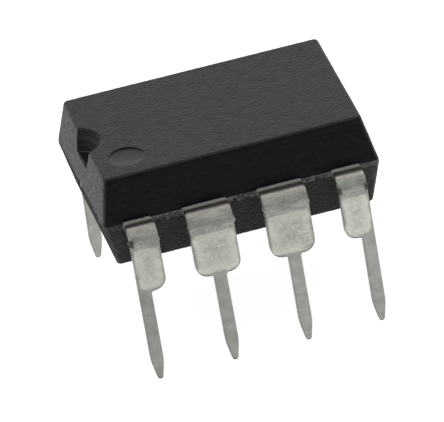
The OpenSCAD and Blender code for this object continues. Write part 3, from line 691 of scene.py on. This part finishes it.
# Towards lead 4 the start of the bend is painted darker, so that its highlight begins further down, and the trimmed
# stretch below the bend is paler
painted_late_highlight = add(tree, "ShaderNodeMapRange", {0: along.outputs["Y"], 1: BEND_START, 2: BEND_START + 0.13,
                                           3: 0.6, 4: 0.92})
painted_late_highlight = add(tree, "ShaderNodeMapRange", {0: along.outputs["Y"], 1: BEND_START + 0.5, 2: BEND_START + 0.7,
                                           3: painted_late_highlight, 4: 1.04})
bend_row_painted_light = add(tree, "ShaderNodeMapRange", {0: spot["X"], 1: -1 * MM, 2: 2 * MM, 3: 1.0, 4: painted_late_highlight})
bend_row_painted_light = add(tree, "ShaderNodeMix", {0: bend_only, 2: 1.0, 3: bend_row_painted_light}, data_type="FLOAT")
shade = add(tree, "ShaderNodeMath", {0: streaked, 1: bend_row_painted_light}, operation="MULTIPLY")
for factor in (hollow_shade, below_crease, deep, worn, scratch_light, dulled, flecks, back_row, along_row, pin_shade, smear):
    shade = add(tree, "ShaderNodeMath", {0: shade, 1: factor}, operation="MULTIPLY")
shade = add(tree, "ShaderNodeCombineXYZ", {0: shade, 1: shade, 2: shade})
colour = add(tree, "ShaderNodeMix", {0: 1.0, 6: colour.outputs[2], 7: shade}, data_type="RGBA", blend_type="MULTIPLY")
tree.links.new(colour.outputs[2], shader.inputs["Base Color"])
dull = add(tree, "ShaderNodeMapRange", {0: cloud, 1: 0.35, 2: 0.65, 3: 0.04, 4: -0.04})
rough = add(tree, "ShaderNodeMath", {0: rough, 1: dull}, operation="ADD")
tree.links.new(rough.outputs[0], shader.inputs["Roughness"])
relief_height = add(tree, "ShaderNodeMix", {0: bend_only, 2: crystal, 3: streak}, data_type="FLOAT")
bump = add(tree, "ShaderNodeBump", {"Strength": 0.3, "Distance": 0.005 * MM, "Height": relief_height})
tree.links.new(bump.outputs[0], shader.inputs["Normal"])
print(f"finish runs from {finish_and_painted_light_along[0][0]:.2f} to {TIP:.2f} mm along the sheet")

# %% [markdown]
# ## The flat blanks
# A real lead starts as a flat blank, sheared out of sheet: the punch rolls the sheet's upper edge down a
# little, and leaves a rough band low on the cut side. So each blank is drawn flat, with its outline in
# the sheet, and filled with a net of points 0.045 mm apart. The outline joins the finger inside the
# body, the wide blade with its round lower corners, and the narrow pin with its tapered tip. The stubs
# of the cut tie bar stand on its edges where the bend ends.

# %% Outline of a blank
def column(i):
    return (i - (LEADS_PER_SIDE - 1) / 2) * LEAD_PITCH


def down(depth):
    """Place along the sheet of a point on the blade, from its depth below the lead frame."""
    return CREASE + (depth - CREASE_DOWN) / math.cos(SPLAY)


def outside_edge(half, side, seed):
    """One long edge of a blank from the tip to the body, as (across, along) pairs. side is -1 or 1."""
    edge = [(TIP_RADIUS * math.sin(a), down(FRAME_Z - TIP_RADIUS + TIP_RADIUS * math.cos(a)))
            for a in np.linspace(0, math.pi / 2, 7)[:-1]]
    # The coined taper runs into the pin in a soft curve
    taper = [Vector((TIP_RADIUS, FRAME_Z - TIP_RADIUS)), Vector((PIN_HALF, FRAME_Z - TIP_LENGTH)),
             Vector((PIN_HALF, FRAME_Z - TIP_LENGTH - 0.2))]
    soft = taper[1].lerp(taper[0], 0.36)
    edge.append((taper[0].x, down(taper[0].y)))
    for t in np.linspace(0, 1, 7):
        point = soft.lerp(taper[1], t).lerp(taper[1].lerp(taper[2], t), t)
        edge.append((point.x, down(point.y)))
    if half > PIN_HALF:
        edge += [(PIN_HALF + NECK_RADIUS * (1 - math.cos(a)), down(SHOULDER_DROP + NECK_RADIUS * (1 - math.sin(a))))
                 for a in np.linspace(0, math.pi / 2, 6)]
        edge += [(half - SHOULDER_RADIUS * (1 - math.sin(a)), down(SHOULDER_DROP - SHOULDER_RADIUS * (1 - math.cos(a))))
                 for a in np.linspace(0, math.pi / 2, 14)]
    # The cut stub of the tie bar, with a ragged face
    middle = (BEND_END + BEND_START + OUTER_BEND * 1.37) / 2
    for t in np.linspace(0, 1, 7):
        burr = {(0, -1): 2.0, (1, 1): 1.8}.get((seed, side), 1.0)
        ragged = burr * (0.8 + 0.35 * noise.noise(Vector((seed * 3.1, t * 4, side))))
        proud = STUB_PROUD * min(1, 5 * t, 5 * (1 - t)) * ragged
        edge.append((half + proud, middle + (0.5 - t) * TRIM_LENGTH))
    return [(side * x, v) for x, v in edge]


def blank_outline(i):
    """Closed outline of lead i's blank, anticlockwise from above, as (across, along) in millimetres."""
    inner = 1 if i < LEADS_PER_SIDE / 2 else -1
    root, tip = HALF_WIDTH - FINGER_ROOT, PAD_WIDTH / 2 + PAD_GAP
    narrow = root - FINGER_ROOT / 2
    if i in (0, LEADS_PER_SIDE - 1):
        halves = {inner: SHOULDER_HALF, -inner: PIN_HALF}
        tip_x = -PAD_LENGTH / 2 - PAD_GAP - inner * column(i)
        finger = [(FINGER_NECK - PIN_HALF + 0.062, root), (tip_x, tip + FINGER_WIDTH / 2),
                  (tip_x, tip - FINGER_WIDTH / 2), (tip_x - FINGER_WIDTH, tip - FINGER_WIDTH / 2), (-PIN_HALF, narrow)]
        finger = [(inner * x, v) for x, v in finger]
    else:
        halves = {1: SHOULDER_HALF, -1: SHOULDER_HALF}
        half, neck = FINGER_WIDTH / 2, FINGER_NECK / 2
        finger = [(SHOULDER_HALF, root), (neck, root), (neck, narrow), (half, narrow - half), (half, tip)]
        finger += [(-x, v) for x, v in reversed(finger)]
    right_side, left_side = (outside_edge(halves[s], s, i) for s in (1, -1))
    if finger[0][0] < 0:
        finger = finger[::-1]
    return right_side + finger + left_side[:0:-1]


for i in range(2):
    print(f"blank {i + 1}: {len(blank_outline(i))} corners")

# %% [markdown]
# The rolled edge is a quarter ellipse, 0.09 mm wide and 0.035 mm deep, so a point's height follows from
# its distance to the outline. That is simpler than offsetting the outline, and it can't cross itself in
# the narrow corners. The same net serves both faces, and bands of quads close the cut side between them.

# %% Mesh of a blank
GRID = 0.045
ROLL_WIDTH, ROLL_DEPTH = 0.09, 0.035


def resample(outline, step):
    """The closed outline with points added, so that none are further apart than step."""
    out = []
    for a, b in zip(outline, outline[1:] + outline[:1]):
        count = max(1, math.ceil(math.dist(a, b) / step))
        out += [(a[0] + (b[0] - a[0]) * k / count, a[1] + (b[1] - a[1]) * k / count) for k in range(count)]
    return np.array(out)


def edge_distance(points, outline):
    """Distance from each point to the closed outline, and whether it is inside."""
    a, b = outline, np.roll(outline, -1, axis=0)
    ab, ap = b - a, points[:, None] - a
    t = np.clip((ap * ab).sum(2) / (ab ** 2).sum(1), 0, 1)
    distance = np.hypot(*(ap - t[..., None] * ab).transpose(2, 0, 1)).min(1)
    y = points[:, 1, None]
    crosses = (a[:, 1] > y) != (b[:, 1] > y)
    with np.errstate(divide="ignore", invalid="ignore"):
        x = a[:, 0] + (y - a[:, 1]) * ab[:, 0] / ab[:, 1]
    return distance, (crosses & (points[:, 0, None] < x)).sum(1) % 2 == 1


def blade_inset(points, i):
    """How far each point lies inside the blade's outline, as if no pin grew out of its lower edge."""
    inner = 1 if i < LEADS_PER_SIDE / 2 else -1
    ends = {inner: SHOULDER_HALF, -inner: PIN_HALF if i in (0, LEADS_PER_SIDE - 1) else SHOULDER_HALF}
    low, high = np.array([-ends[-1], CREASE - 0.1]), np.array([ends[1], down(SHOULDER_DROP - 0.05)])
    middle, half = (low + high) / 2, (high - low) / 2
    corner = np.where(points[:, 1] > middle[1], 0.3, 0.0)
    q = np.abs(points - middle) - half + corner[:, None]
    return corner - np.hypot(*np.maximum(q, 0).T) - np.minimum(q.max(1), 0)


def blank(name, i):
    """Lead i's flat blank: x across, y along, and z up from the sheet's outer face."""
    outline = resample(blank_outline(i), GRID)
    count = len(outline)
    tangent = np.roll(outline, -1, axis=0) - np.roll(outline, 1, axis=0)
    inward = np.stack([-tangent[:, 1], tangent[:, 0]], 1) / np.hypot(*tangent.T)[:, None]
    rim = np.vstack([outline + inward * d for d in (0.012, 0.03)])
    rim_distance, rim_inside = edge_distance(rim, outline)
    rim = rim[rim_inside & (rim_distance > np.repeat((0.010, 0.026), count))]
    rows = np.arange(outline[:, 1].min(), outline[:, 1].max(), GRID * math.sqrt(3) / 2)
    net = np.array([(x + (k % 2) * GRID / 2, y) for k, y in enumerate(rows)
                    for x in np.arange(outline[:, 0].min(), outline[:, 0].max(), GRID)])
    fold = np.array([(x, CREASE) for x in np.arange(-SHOULDER_HALF, SHOULDER_HALF, GRID)])
    net = np.vstack([net[np.abs(net[:, 1] - CREASE) > 0.4 * GRID], fold])
    distance, inside = edge_distance(net, outline)
    net = net[inside & (distance > 0.05)]
    flat = np.vstack([outline, rim, net])
    corners, _, triangles, *_ = geometry.delaunay_2d_cdt(
        [Vector(p) for p in flat], [(k, (k + 1) % count) for k in range(count)], [], 1, 1e-7)
    assert len(corners) == len(flat), (len(corners), len(flat))
    distance, _ = edge_distance(flat, outline)
    distance[:count] = 0
    roll = ROLL_DEPTH * (1 - np.sqrt(1 - (1 - np.minimum(distance / ROLL_WIDTH, 1)) ** 2))
    burr = 0.3 * roll
    total = len(flat)
    points = [(x, y, -h) for (x, y), h in zip(flat, roll)]
    points += [(x, y, -SHEET + h) for (x, y), h in zip(flat, burr)]
    faces = [tuple(t) for t in triangles] + [tuple(total + k for k in reversed(t)) for t in triangles]
    # The cut side: a smooth sheared band above, and a rough torn band below
    above = list(range(count))
    for share, rough in ((0.3, 0.0), (0.55, 0.003), (0.8, 0.008)):
        first = len(points)
        for k in range(count):
            x, y = outline[k]
            push = rough * (noise.noise(Vector((x * 20, y * 20, i + share))) - 0.5)
            z = -ROLL_DEPTH + share * (ROLL_DEPTH * 1.3 - SHEET)
            points.append((x + inward[k][0] * -push, y + inward[k][1] * -push, z))
        faces += [(above[k], first + k, first + (k + 1) % count, above[(k + 1) % count]) for k in range(count)]
        above = list(range(first, first + count))
    faces += [(above[k], total + k, total + (k + 1) % count, above[(k + 1) % count]) for k in range(count)]
    made = make_mesh(name, points, faces, tin)
    sheet = np.array(points)[:, :2]
    depth = blade_inset(sheet, i)
    vertex = [loop.vertex_index for loop in made.data.loops]
    for layer, uv in (("sheet", sheet), ("blade", np.stack([depth, depth], 1))):
        made.data.uv_layers.new(name=layer).data.foreach_set("uv", uv[vertex].ravel())
    return made


blanks = [blank(f"blank_{i + 1}", i) for i in range(LEADS_PER_SIDE)]
print("blanks:", [len(b.data.polygons) for b in blanks], "faces")

# %% [markdown]
# ## Bending the blanks by rule
# A forming tool bends every lead along the same path: flat out of the body, round an arc of 93 degrees,
# straight for the trimmed stretch, then back out by 6.7 degrees at a crease. That is a rule, so Geometry
# Nodes do it: the tree samples a path curve at each point's length along the sheet, and sets the point
# off it by its height. Simple Deform or an armature could bend the blank too, but they know neither the
# crease nor the length of the arc. The tree also adds the shallow waves that a hand can feel on thin
# sheet, with their own seed for each lead. Each blade leans along the row and spreads from it by up to
# a degree, as handling leaves them, and the whole frame sat 0.02 mm towards the notch in its mould.

# %% The path that the forming tool gives
def lead_path():
    """Points (out, level) of the sheet's outer face, from the middle of the body to the tip."""
    points = [(0, SHEET / 2), (BEND_OUT - 0.02, SHEET / 2)]
    for a in np.linspace(0, BEND_SWEEP, 32):
        points.append((BEND_OUT + OUTER_BEND * math.sin(a), SHEET / 2 - OUTER_BEND * (1 - math.cos(a))))
    tight = 0.02
    for reach_back in (TRIM_LENGTH * 0.9, tight):
        points.append((CREASE_OUT - reach_back * math.cos(BEND_SWEEP), -CREASE_DOWN + reach_back * math.sin(BEND_SWEEP)))
    points.append((CREASE_OUT, -CREASE_DOWN))
    for reach_on in (tight, FRAME_Z):
        points.append((CREASE_OUT + reach_on * math.sin(SPLAY), -CREASE_DOWN - reach_on * math.cos(SPLAY)))
    return points


path_data = bpy.data.curves.new("lead_path", "CURVE")
path_data.dimensions = "3D"
spline = path_data.splines.new("POLY")
path_points = lead_path()
spline.points.add(len(path_points) - 1)
for point, (out, level_z) in zip(spline.points, path_points):
    point.co = (0, -out * MM, (level_z + FRAME_Z) * MM, 1)
path = bpy.data.objects.new("lead_path", path_data)
root.objects.link(path)
print(f"path of {len(path_points)} points")

# %% The bending tree
bend = bpy.data.node_groups.new("bend blank along path", "GeometryNodeTree")
sockets = {}
for name, kind in (("Blank", "Geometry"), ("Path", "Object"), ("Column", "Float"), ("Lean", "Float"), ("Spread", "Float"),
                   ("Turn", "Float"),
                   ("Wave height", "Float"), ("Wave size", "Float"), ("Seed", "Float"), ("Plating", "Material")):
    sockets[name] = bend.interface.new_socket(name, in_out="INPUT", socket_type="NodeSocket" + kind)
bend.interface.new_socket("Lead", in_out="OUTPUT", socket_type="NodeSocketGeometry")
given = add(bend, "NodeGroupInput").outputs
flat_at = add(bend, "ShaderNodeSeparateXYZ", {0: add(bend, "GeometryNodeInputPosition")})
curve = add(bend, "GeometryNodeObjectInfo", {"Object": given["Path"]})
sample = add(bend, "GeometryNodeSampleCurve", {"Curves": curve.outputs["Geometry"], "Length": flat_at.outputs["Y"]},
             mode="LENGTH", use_all_curves=True)
outward = add(bend, "ShaderNodeVectorMath", {0: sample.outputs["Tangent"], 1: (1, 0, 0)}, operation="CROSS_PRODUCT")
across = add(bend, "ShaderNodeMath", {0: flat_at.outputs["X"], 1: given["Column"]}, operation="ADD")
past = add(bend, "ShaderNodeMath", {0: flat_at.outputs["Y"], 1: CREASE * MM}, operation="SUBTRACT")
past = add(bend, "ShaderNodeMath", {0: past, 1: 0.0}, operation="MAXIMUM")
across = add(bend, "ShaderNodeMath", {0: past, 1: given["Lean"], 2: across}, operation="MULTIPLY_ADD")
apart = add(bend, "ShaderNodeMath", {0: past, 1: given["Spread"]}, operation="MULTIPLY")
apart = add(bend, "ShaderNodeMath", {0: apart, 1: -1.0}, operation="MULTIPLY")
sideways = add(bend, "ShaderNodeCombineXYZ", {0: across, 1: apart})
centre = add(bend, "ShaderNodeVectorMath", {0: sample.outputs["Position"], 1: sideways}, operation="ADD")
wave = add(bend, "ShaderNodeTexNoise", {"Vector": centre, "W": given["Seed"], "Scale": given["Wave size"],
                                        "Detail": 1.0}, noise_dimensions="4D")
wave = add(bend, "ShaderNodeMath", {0: wave, 1: 0.5}, operation="SUBTRACT")
wave = add(bend, "ShaderNodeMath", {0: wave, 1: given["Wave height"], 2: flat_at.outputs["Z"]},
           operation="MULTIPLY_ADD")
offset = add(bend, "ShaderNodeVectorMath", {0: outward, "Scale": wave}, operation="SCALE")
bent_at = add(bend, "ShaderNodeVectorMath", {0: centre, 1: offset}, operation="ADD")
bent = add(bend, "GeometryNodeSetPosition", {"Geometry": given["Blank"], "Position": bent_at})
turn = add(bend, "ShaderNodeCombineXYZ", {2: given["Turn"]})
bent = add(bend, "GeometryNodeTransform", {"Geometry": bent, "Rotation": turn})
bent = add(bend, "GeometryNodeRealizeInstances", {"Geometry": bent})
bent = add(bend, "GeometryNodeSetMaterial", {"Geometry": bent, "Material": given["Plating"]})
add(bend, "NodeGroupOutput", {"Lead": bent})
print("bending tree:", len(bend.nodes), "nodes")

# %% Bend eight leads
LEANS = (0.3, 0.5, 0.35, 0.1, -0.2, 0.25, -0.3, 0.15)
SPREADS = (0.6, 0.5, -0.4, -1.0, 0.2, -0.3, 0.1, -0.3)
leads = []
for n in range(1, 2 * LEADS_PER_SIDE + 1):
    i = (n - 1) % LEADS_PER_SIDE
    lead = bpy.data.objects.new(f"tinned_lead_{n}", blanks[i].data.copy())
    root.objects.link(lead)
    bending = lead.modifiers.new("bend", "NODES")
    bending.node_group = bend
    turned_row = n > LEADS_PER_SIDE
    values = {"Path": path, "Column": (column(i) + (-LEAD_SHIFT if turned_row else LEAD_SHIFT)) * MM,
              "Lean": math.tan(math.radians(LEANS[n - 1])), "Spread": math.tan(math.radians(SPREADS[n - 1])),
              "Turn": math.pi if turned_row else 0.0,
              "Wave height": 0.012 * MM, "Wave size": 1 / (0.9 * MM), "Seed": float(n), "Plating": tin}
    for name, value in values.items():
        bending[sockets[name].identifier] = value
    mesh = bpy.data.meshes.new_from_object(lead.evaluated_get(bpy.context.evaluated_depsgraph_get()))
    lead.modifiers.clear()
    lead.data = mesh
    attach(lead, "root")
    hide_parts(f"lead_{n}")
    leads.append(lead)
for helper in blanks + [path]:
    bpy.data.objects.remove(helper)
lowest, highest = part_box("lead_1")
mine = np.array([v.co for v in leads[0].data.vertices])
print("lead 1 differs from its solid by", np.round((mine.min(0) - lowest) / MM, 3), np.round((mine.max(0) - highest) / MM, 3))

# %% [markdown]
# ## Torn resin between the leads
# Resin also fills the gaps between the leads, out to the bar that ties them. When the bar is cut away,
# that resin breaks off just outside the body and leaves a rough grey ledge. It repeats in all six gaps,
# so Geometry Nodes make it: a fine block is set in each gap by its pitch, and noise tears its surface
# once the copies are real, so that no two look the same. Crumbs of resin stick to the ledges.

# %% Material of torn resin
torn = bpy.data.materials.new("torn_filled_epoxy")
torn.use_nodes = True
tree = torn.node_tree
shader = tree.nodes["Principled BSDF"]
shader.inputs["IOR"].default_value = 1.5
shader.inputs["Roughness"].default_value = 0.8
where = add(tree, "ShaderNodeTexCoord").outputs["Object"]
filler = add(tree, "ShaderNodeTexNoise", {"Vector": where, "Scale": 1 / (0.16 * MM), "Detail": 4.0})
colour = add(tree, "ShaderNodeValToRGB", {"Fac": filler})
colour.color_ramp.elements[0].position, colour.color_ramp.elements[0].color = 0.38, linear("#272727")
colour.color_ramp.elements[1].position, colour.color_ramp.elements[1].color = 0.62, linear("#686764")
silica = add(tree, "ShaderNodeTexNoise", {"Vector": where, "Scale": 1 / (0.12 * MM), "Detail": 2.0})
silica = add(tree, "ShaderNodeMapRange", {0: silica, 1: 0.56, 2: 0.7, 3: 0.0, 4: 0.8})
colour = add(tree, "ShaderNodeMix", {0: silica, 6: colour.outputs[0], 7: linear("#9a9ca0")}, data_type="RGBA")
axes = add(tree, "ShaderNodeSeparateXYZ", {0: where})
# Painted light and shade: the ledge is painted lighter towards its outer face and darker low down
out = add(tree, "ShaderNodeMath", {0: axes.outputs["Y"]}, operation="ABSOLUTE")
out = add(tree, "ShaderNodeMapRange", {0: out, 1: (HALF_WIDTH - 0.01) * MM, 2: (HALF_WIDTH + 0.05) * MM, 3: 0.75, 4: 1.7})
under = add(tree, "ShaderNodeMapRange", {0: axes.outputs["Z"], 1: (FRAME_Z - 0.08) * MM, 2: (FRAME_Z - 0.03) * MM, 3: 0.4, 4: 1.0})
painted_light_and_shade = add(tree, "ShaderNodeMath", {0: out, 1: under}, operation="MULTIPLY")
painted_light_and_shade = add(tree, "ShaderNodeCombineXYZ", {0: painted_light_and_shade, 1: painted_light_and_shade, 2: painted_light_and_shade})
colour = add(tree, "ShaderNodeMix", {0: 1.0, 6: colour.outputs[2], 7: painted_light_and_shade}, data_type="RGBA", blend_type="MULTIPLY")
tree.links.new(colour.outputs[2], shader.inputs["Base Color"])
bump = add(tree, "ShaderNodeBump", {"Strength": 0.5, "Distance": 0.01 * MM, "Height": filler})
tree.links.new(bump.outputs[0], shader.inputs["Normal"])

# %% The tearing tree
tear = bpy.data.node_groups.new("torn resin in the gaps", "GeometryNodeTree")
sockets = {}
for name, kind in (("Width", "Float"), ("Height", "Float"), ("Depth", "Float"), ("Pitch", "Float"), ("Gaps", "Int"),
                   ("First", "Vector"), ("Tear height", "Float"), ("Tear size", "Float"), ("Crumbs", "Float"),
                   ("Crumb size", "Float"), ("Seed", "Int"), ("Resin", "Material")):
    sockets[name] = tear.interface.new_socket(name, in_out="INPUT", socket_type="NodeSocket" + kind)
tear.interface.new_socket("Geometry", in_out="OUTPUT", socket_type="NodeSocketGeometry")
given = add(tear, "NodeGroupInput").outputs
block_size = add(tear, "ShaderNodeCombineXYZ", {0: given["Width"], 1: given["Depth"], 2: given["Height"]})
block = add(tear, "GeometryNodeMeshCube", {"Size": block_size, "Vertices X": 42, "Vertices Y": 8, "Vertices Z": 12})
step = add(tear, "ShaderNodeCombineXYZ", {0: given["Pitch"]})
row = add(tear, "GeometryNodeMeshLine", {"Count": given["Gaps"], "Start Location": given["First"], "Offset": step},
          mode="OFFSET")
ledges = add(tear, "GeometryNodeInstanceOnPoints", {"Points": row, "Instance": block.outputs["Mesh"]})
half_turn = add(tear, "GeometryNodeTransform", {"Geometry": ledges, "Rotation": (0, 0, math.pi)})
both = add(tear, "GeometryNodeJoinGeometry", {0: ledges})
tear.links.new(half_turn.outputs[0], both.inputs[0])
real = add(tear, "GeometryNodeRealizeInstances", {"Geometry": both})
position = add(tear, "GeometryNodeInputPosition")
ragged = add(tear, "ShaderNodeTexNoise", {"Vector": position, "W": given["Seed"], "Scale": given["Tear size"],
                                          "Detail": 4.0, "Roughness": 0.65}, noise_dimensions="4D")
push = add(tear, "ShaderNodeVectorMath", {0: ragged.outputs["Color"], 1: (0.5, 0.5, 0.5)}, operation="SUBTRACT")
push = add(tear, "ShaderNodeVectorMath", {0: push, "Scale": given["Tear height"]}, operation="SCALE")
rough_ledges = add(tear, "GeometryNodeSetPosition", {"Geometry": real, "Offset": push})
spots = add(tear, "GeometryNodeDistributePointsOnFaces", {"Mesh": rough_ledges, "Density": given["Crumbs"],
                                                          "Seed": given["Seed"]})
spin = add(tear, "FunctionNodeRandomValue", {0: (0, 0, 0), 1: (6.28, 6.28, 6.28), "Seed": given["Seed"]},
           data_type="FLOAT_VECTOR")
girth = add(tear, "FunctionNodeRandomValue", {0: (0.3, 0.3, 0.3), 1: (1, 1, 1), "Seed": given["Seed"]},
            data_type="FLOAT_VECTOR")
chip = add(tear, "GeometryNodeMeshIcoSphere", {"Radius": given["Crumb size"], "Subdivisions": 1})
crumbs = add(tear, "GeometryNodeInstanceOnPoints", {"Points": spots.outputs["Points"], "Instance": chip.outputs["Mesh"],
                                                    "Rotation": spin, "Scale": girth})
everything = add(tear, "GeometryNodeJoinGeometry", {0: rough_ledges})
tear.links.new(crumbs.outputs[0], everything.inputs[0])
everything = add(tear, "GeometryNodeRealizeInstances", {"Geometry": everything})
everything = add(tear, "GeometryNodeSetMaterial", {"Geometry": everything, "Material": given["Resin"]})
add(tear, "NodeGroupOutput", {"Geometry": everything})

gap = LEAD_PITCH - 2 * SHOULDER_HALF
buried = 0.06
resin = bpy.data.objects.new("torn_resin", bpy.data.meshes.new("torn_resin"))
root.objects.link(resin)
tearing = resin.modifiers.new("tear", "NODES")
tearing.node_group = tear
values = {"Width": (gap - 0.01) * MM, "Height": (SHEET - 0.04) * MM, "Depth": (FLASH_PROUD * 0.8 + buried) * MM,
          "Pitch": LEAD_PITCH * MM, "Gaps": LEADS_PER_SIDE - 1,
          "First": ((column(0) + LEAD_PITCH / 2) * MM, -(HALF_WIDTH - buried / 2 + FLASH_PROUD * 0.4) * MM,
                    (FRAME_Z - 0.02) * MM),
          "Tear height": 0.09 * MM, "Tear size": 1 / (0.14 * MM), "Crumbs": 12 / MM ** 2, "Crumb size": 0.018 * MM,
          "Seed": 7, "Resin": torn}
for name, value in values.items():
    tearing[sockets[name].identifier] = value
resin_mesh = bpy.data.meshes.new_from_object(resin.evaluated_get(bpy.context.evaluated_depsgraph_get()))
resin.modifiers.clear()
resin.data = resin_mesh
for piece in (shell, resin):
    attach(piece, "root")
    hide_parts("body")
print(f"torn resin: {len(resin_mesh.polygons)} faces in {2 * (LEADS_PER_SIDE - 1)} gaps")

# %% [markdown]
# ## What the moulding hides
# The die pad, the adhesive, the die and the wires keep their CAD solids, because their forms are right.
# They still get their real finishes, for anyone who hides the body: copper alloy with the fine lines of
# its rolling, dull silver-filled adhesive, blue-grey silicon with the blocks of its circuit, and gold
# wire that is drawn bright.

# %% Materials of the insert
def plain_material(name, metallic, roughness, dark, light, scale, cell=False, cut_end=0):
    """A two-tone material: noise or cells of the given size in millimetres mix the two colours.

    Where cut_end is given, the metal is tarnished beyond that distance from the middle, as a cut end is."""
    made = bpy.data.materials.new(name)
    made.use_nodes = True
    tree = made.node_tree
    shader = tree.nodes["Principled BSDF"]
    shader.inputs["Metallic"].default_value = metallic
    shader.inputs["Roughness"].default_value = roughness
    where = add(tree, "ShaderNodeTexCoord").outputs["Object"]
    placed = add(tree, "ShaderNodeMapping", {"Vector": where, "Scale": [1 / (s * MM) for s in scale]})
    if cell:
        pattern = add(tree, "ShaderNodeTexVoronoi", {"Vector": placed, "Scale": 1.0}, distance="CHEBYCHEV")
    else:
        pattern = add(tree, "ShaderNodeTexNoise", {"Vector": placed, "Scale": 1.0, "Detail": 3.0})
    mix = add(tree, "ShaderNodeMix", {0: pattern.outputs[0], 6: linear(dark), 7: linear(light)}, data_type="RGBA")
    if cut_end:
        far = add(tree, "ShaderNodeMath", {0: add(tree, "ShaderNodeSeparateXYZ", {0: where})}, operation="ABSOLUTE")
        tarnish = add(tree, "ShaderNodeMapRange", {0: far, 1: (cut_end - 0.1) * MM, 2: cut_end * MM})
        mix = add(tree, "ShaderNodeMix", {0: tarnish, 6: mix.outputs[2], 7: linear("#2b2623")}, data_type="RGBA")
    tree.links.new(mix.outputs[2], shader.inputs["Base Color"])
    bump = add(tree, "ShaderNodeBump", {"Strength": 0.3, "Distance": 0.003 * MM, "Height": pattern.outputs[0]})
    tree.links.new(bump.outputs[0], shader.inputs["Normal"])
    return made


finishes = {
    "copper": plain_material("rolled_copper_alloy", 1.0, 0.38, "#8a5436", "#c98a66", (1.5, 0.05, 0.05),
                             cut_end=HALF_LENGTH - 0.15),
    "film": plain_material("silver_filled_adhesive", 0.3, 0.7, "#8d8a80", "#d6d2c6", (0.05, 0.05, 0.05)),
    "silicon": plain_material("polished_silicon", 0.6, 0.25, "#2f3542", "#7c8698", (0.12, 0.12, 0.12), True),
    "gold": plain_material("drawn_gold_wire", 1.0, 0.25, "#c89632", "#f0cc6a", (0.03, 0.03, 0.03)),
}
for node, finish in [("die_pad", "copper"), ("die_attach", "film"), ("die", "silicon")] + \
        [(f"bond_wire_{n}", "gold") for n in range(1, 9)]:
    slots = frame["nodes"][node].material_slots
    slots[0].material = finishes[finish]
print("finished inside:", sorted(finishes))

# %% [markdown]
# ## Floor and light
# The chip stands on a pale floor in a small studio. A wide soft lamp above and behind lights the top, a
# second one on the left lights the notched end, and a dark card in front keeps the near side black, as
# in the photograph. The floor is half reflecting and half glowing: cameras and mirrors see it white,
# the chip's shadow stays on it, and it throws no more light on the chip than pale card does.

# %% Floor
floor_card = bpy.data.materials.new("white_card")
floor_card.use_nodes = True
tree = floor_card.node_tree
shader = tree.nodes["Principled BSDF"]
shader.inputs["Roughness"].default_value = 1.0
shader.inputs["Specular IOR Level"].default_value = 0.0
rays = add(tree, "ShaderNodeLightPath").outputs
seen = add(tree, "ShaderNodeMath", {0: rays["Is Camera Ray"], 1: rays["Is Glossy Ray"]}, operation="MAXIMUM")
seen = add(tree, "ShaderNodeMath", {0: seen, 1: rays["Is Transmission Ray"]}, operation="MAXIMUM")
where = add(tree, "ShaderNodeTexCoord").outputs["Object"]
fibre = add(tree, "ShaderNodeTexNoise", {"Vector": where, "Scale": 1 / (0.4 * MM), "Detail": 2.0})
card = add(tree, "ShaderNodeMix", {0: fibre, 6: (0.41, 0.41, 0.41, 1), 7: (0.43, 0.43, 0.43, 1)}, data_type="RGBA")
tree.links.new(card.outputs[2], shader.inputs["Base Color"])
shader.inputs["Emission Color"].default_value = (1, 1, 1, 1)
glow = add(tree, "ShaderNodeMath", {0: seen, 1: 0.88}, operation="MULTIPLY")
tree.links.new(glow.outputs[0], shader.inputs["Emission Strength"])
FLOOR = 4000
floor = make_mesh("floor", [(-FLOOR, -FLOOR, 0), (FLOOR, -FLOOR, 0), (FLOOR, FLOOR, 0), (-FLOOR, FLOOR, 0)],
                  [(0, 1, 2, 3)], floor_card, smooth=False)

# %% World, lamps and the dark card
world = bpy.data.worlds.new("studio")
scene.world = world
world.use_nodes = True
tree = world.node_tree
rays = add(tree, "ShaderNodeLightPath").outputs
seen = add(tree, "ShaderNodeMath", {0: rays["Is Camera Ray"], 1: rays["Is Glossy Ray"]}, operation="MAXIMUM")
seen = add(tree, "ShaderNodeMath", {0: seen, 1: rays["Is Transmission Ray"]}, operation="MAXIMUM")
strength = add(tree, "ShaderNodeMapRange", {0: seen, 1: 0.0, 2: 1.0, 3: 0.5, 4: 1.1})
tree.links.new(strength.outputs[0], tree.nodes["Background"].inputs["Strength"])
tree.nodes["Background"].inputs["Color"].default_value = (1, 1, 1, 1)


def soft_lamp(name, place, size, level):
    """A square lamp, in millimetres, aimed at the chip. level is the light that it puts on a facing card."""
    data = bpy.data.lights.new(name, "AREA")
    data.shape, data.size = "SQUARE", size * MM
    distance = Vector(place).length * MM
    data.energy = level * math.pi ** 2 * distance ** 2
    lamp = bpy.data.objects.new(name, data)
    root.objects.link(lamp)
    lamp.location = Vector(place) * MM
    lamp.rotation_euler = Vector(place).to_track_quat("Z", "Y").to_euler()
    lamp.visible_glossy = False
    return lamp


soft_lamp("top_lamp", (-90, 120, 380), 320, 0.5)
soft_lamp("left_lamp", (-360, 120, 90), 200, 0.3)

card = bpy.data.materials.new("dark_card")
card.use_nodes = True
shader = card.node_tree.nodes["Principled BSDF"]
shader.inputs["Roughness"].default_value = 1.0
fibre = add(card.node_tree, "ShaderNodeTexNoise", {"Scale": 300.0})
tone = add(card.node_tree, "ShaderNodeMix", {0: fibre, 6: linear("#101010"), 7: linear("#161616")}, data_type="RGBA")
card.node_tree.links.new(tone.outputs[2], shader.inputs["Base Color"])
flag = make_mesh("flag", [(-60, -40, 0), (60, -40, 0), (60, -40, 30), (-60, -40, 30)], [(0, 1, 2, 3)],
                 card, smooth=False)
flag.visible_camera = False
print("lamps, world and card are up")
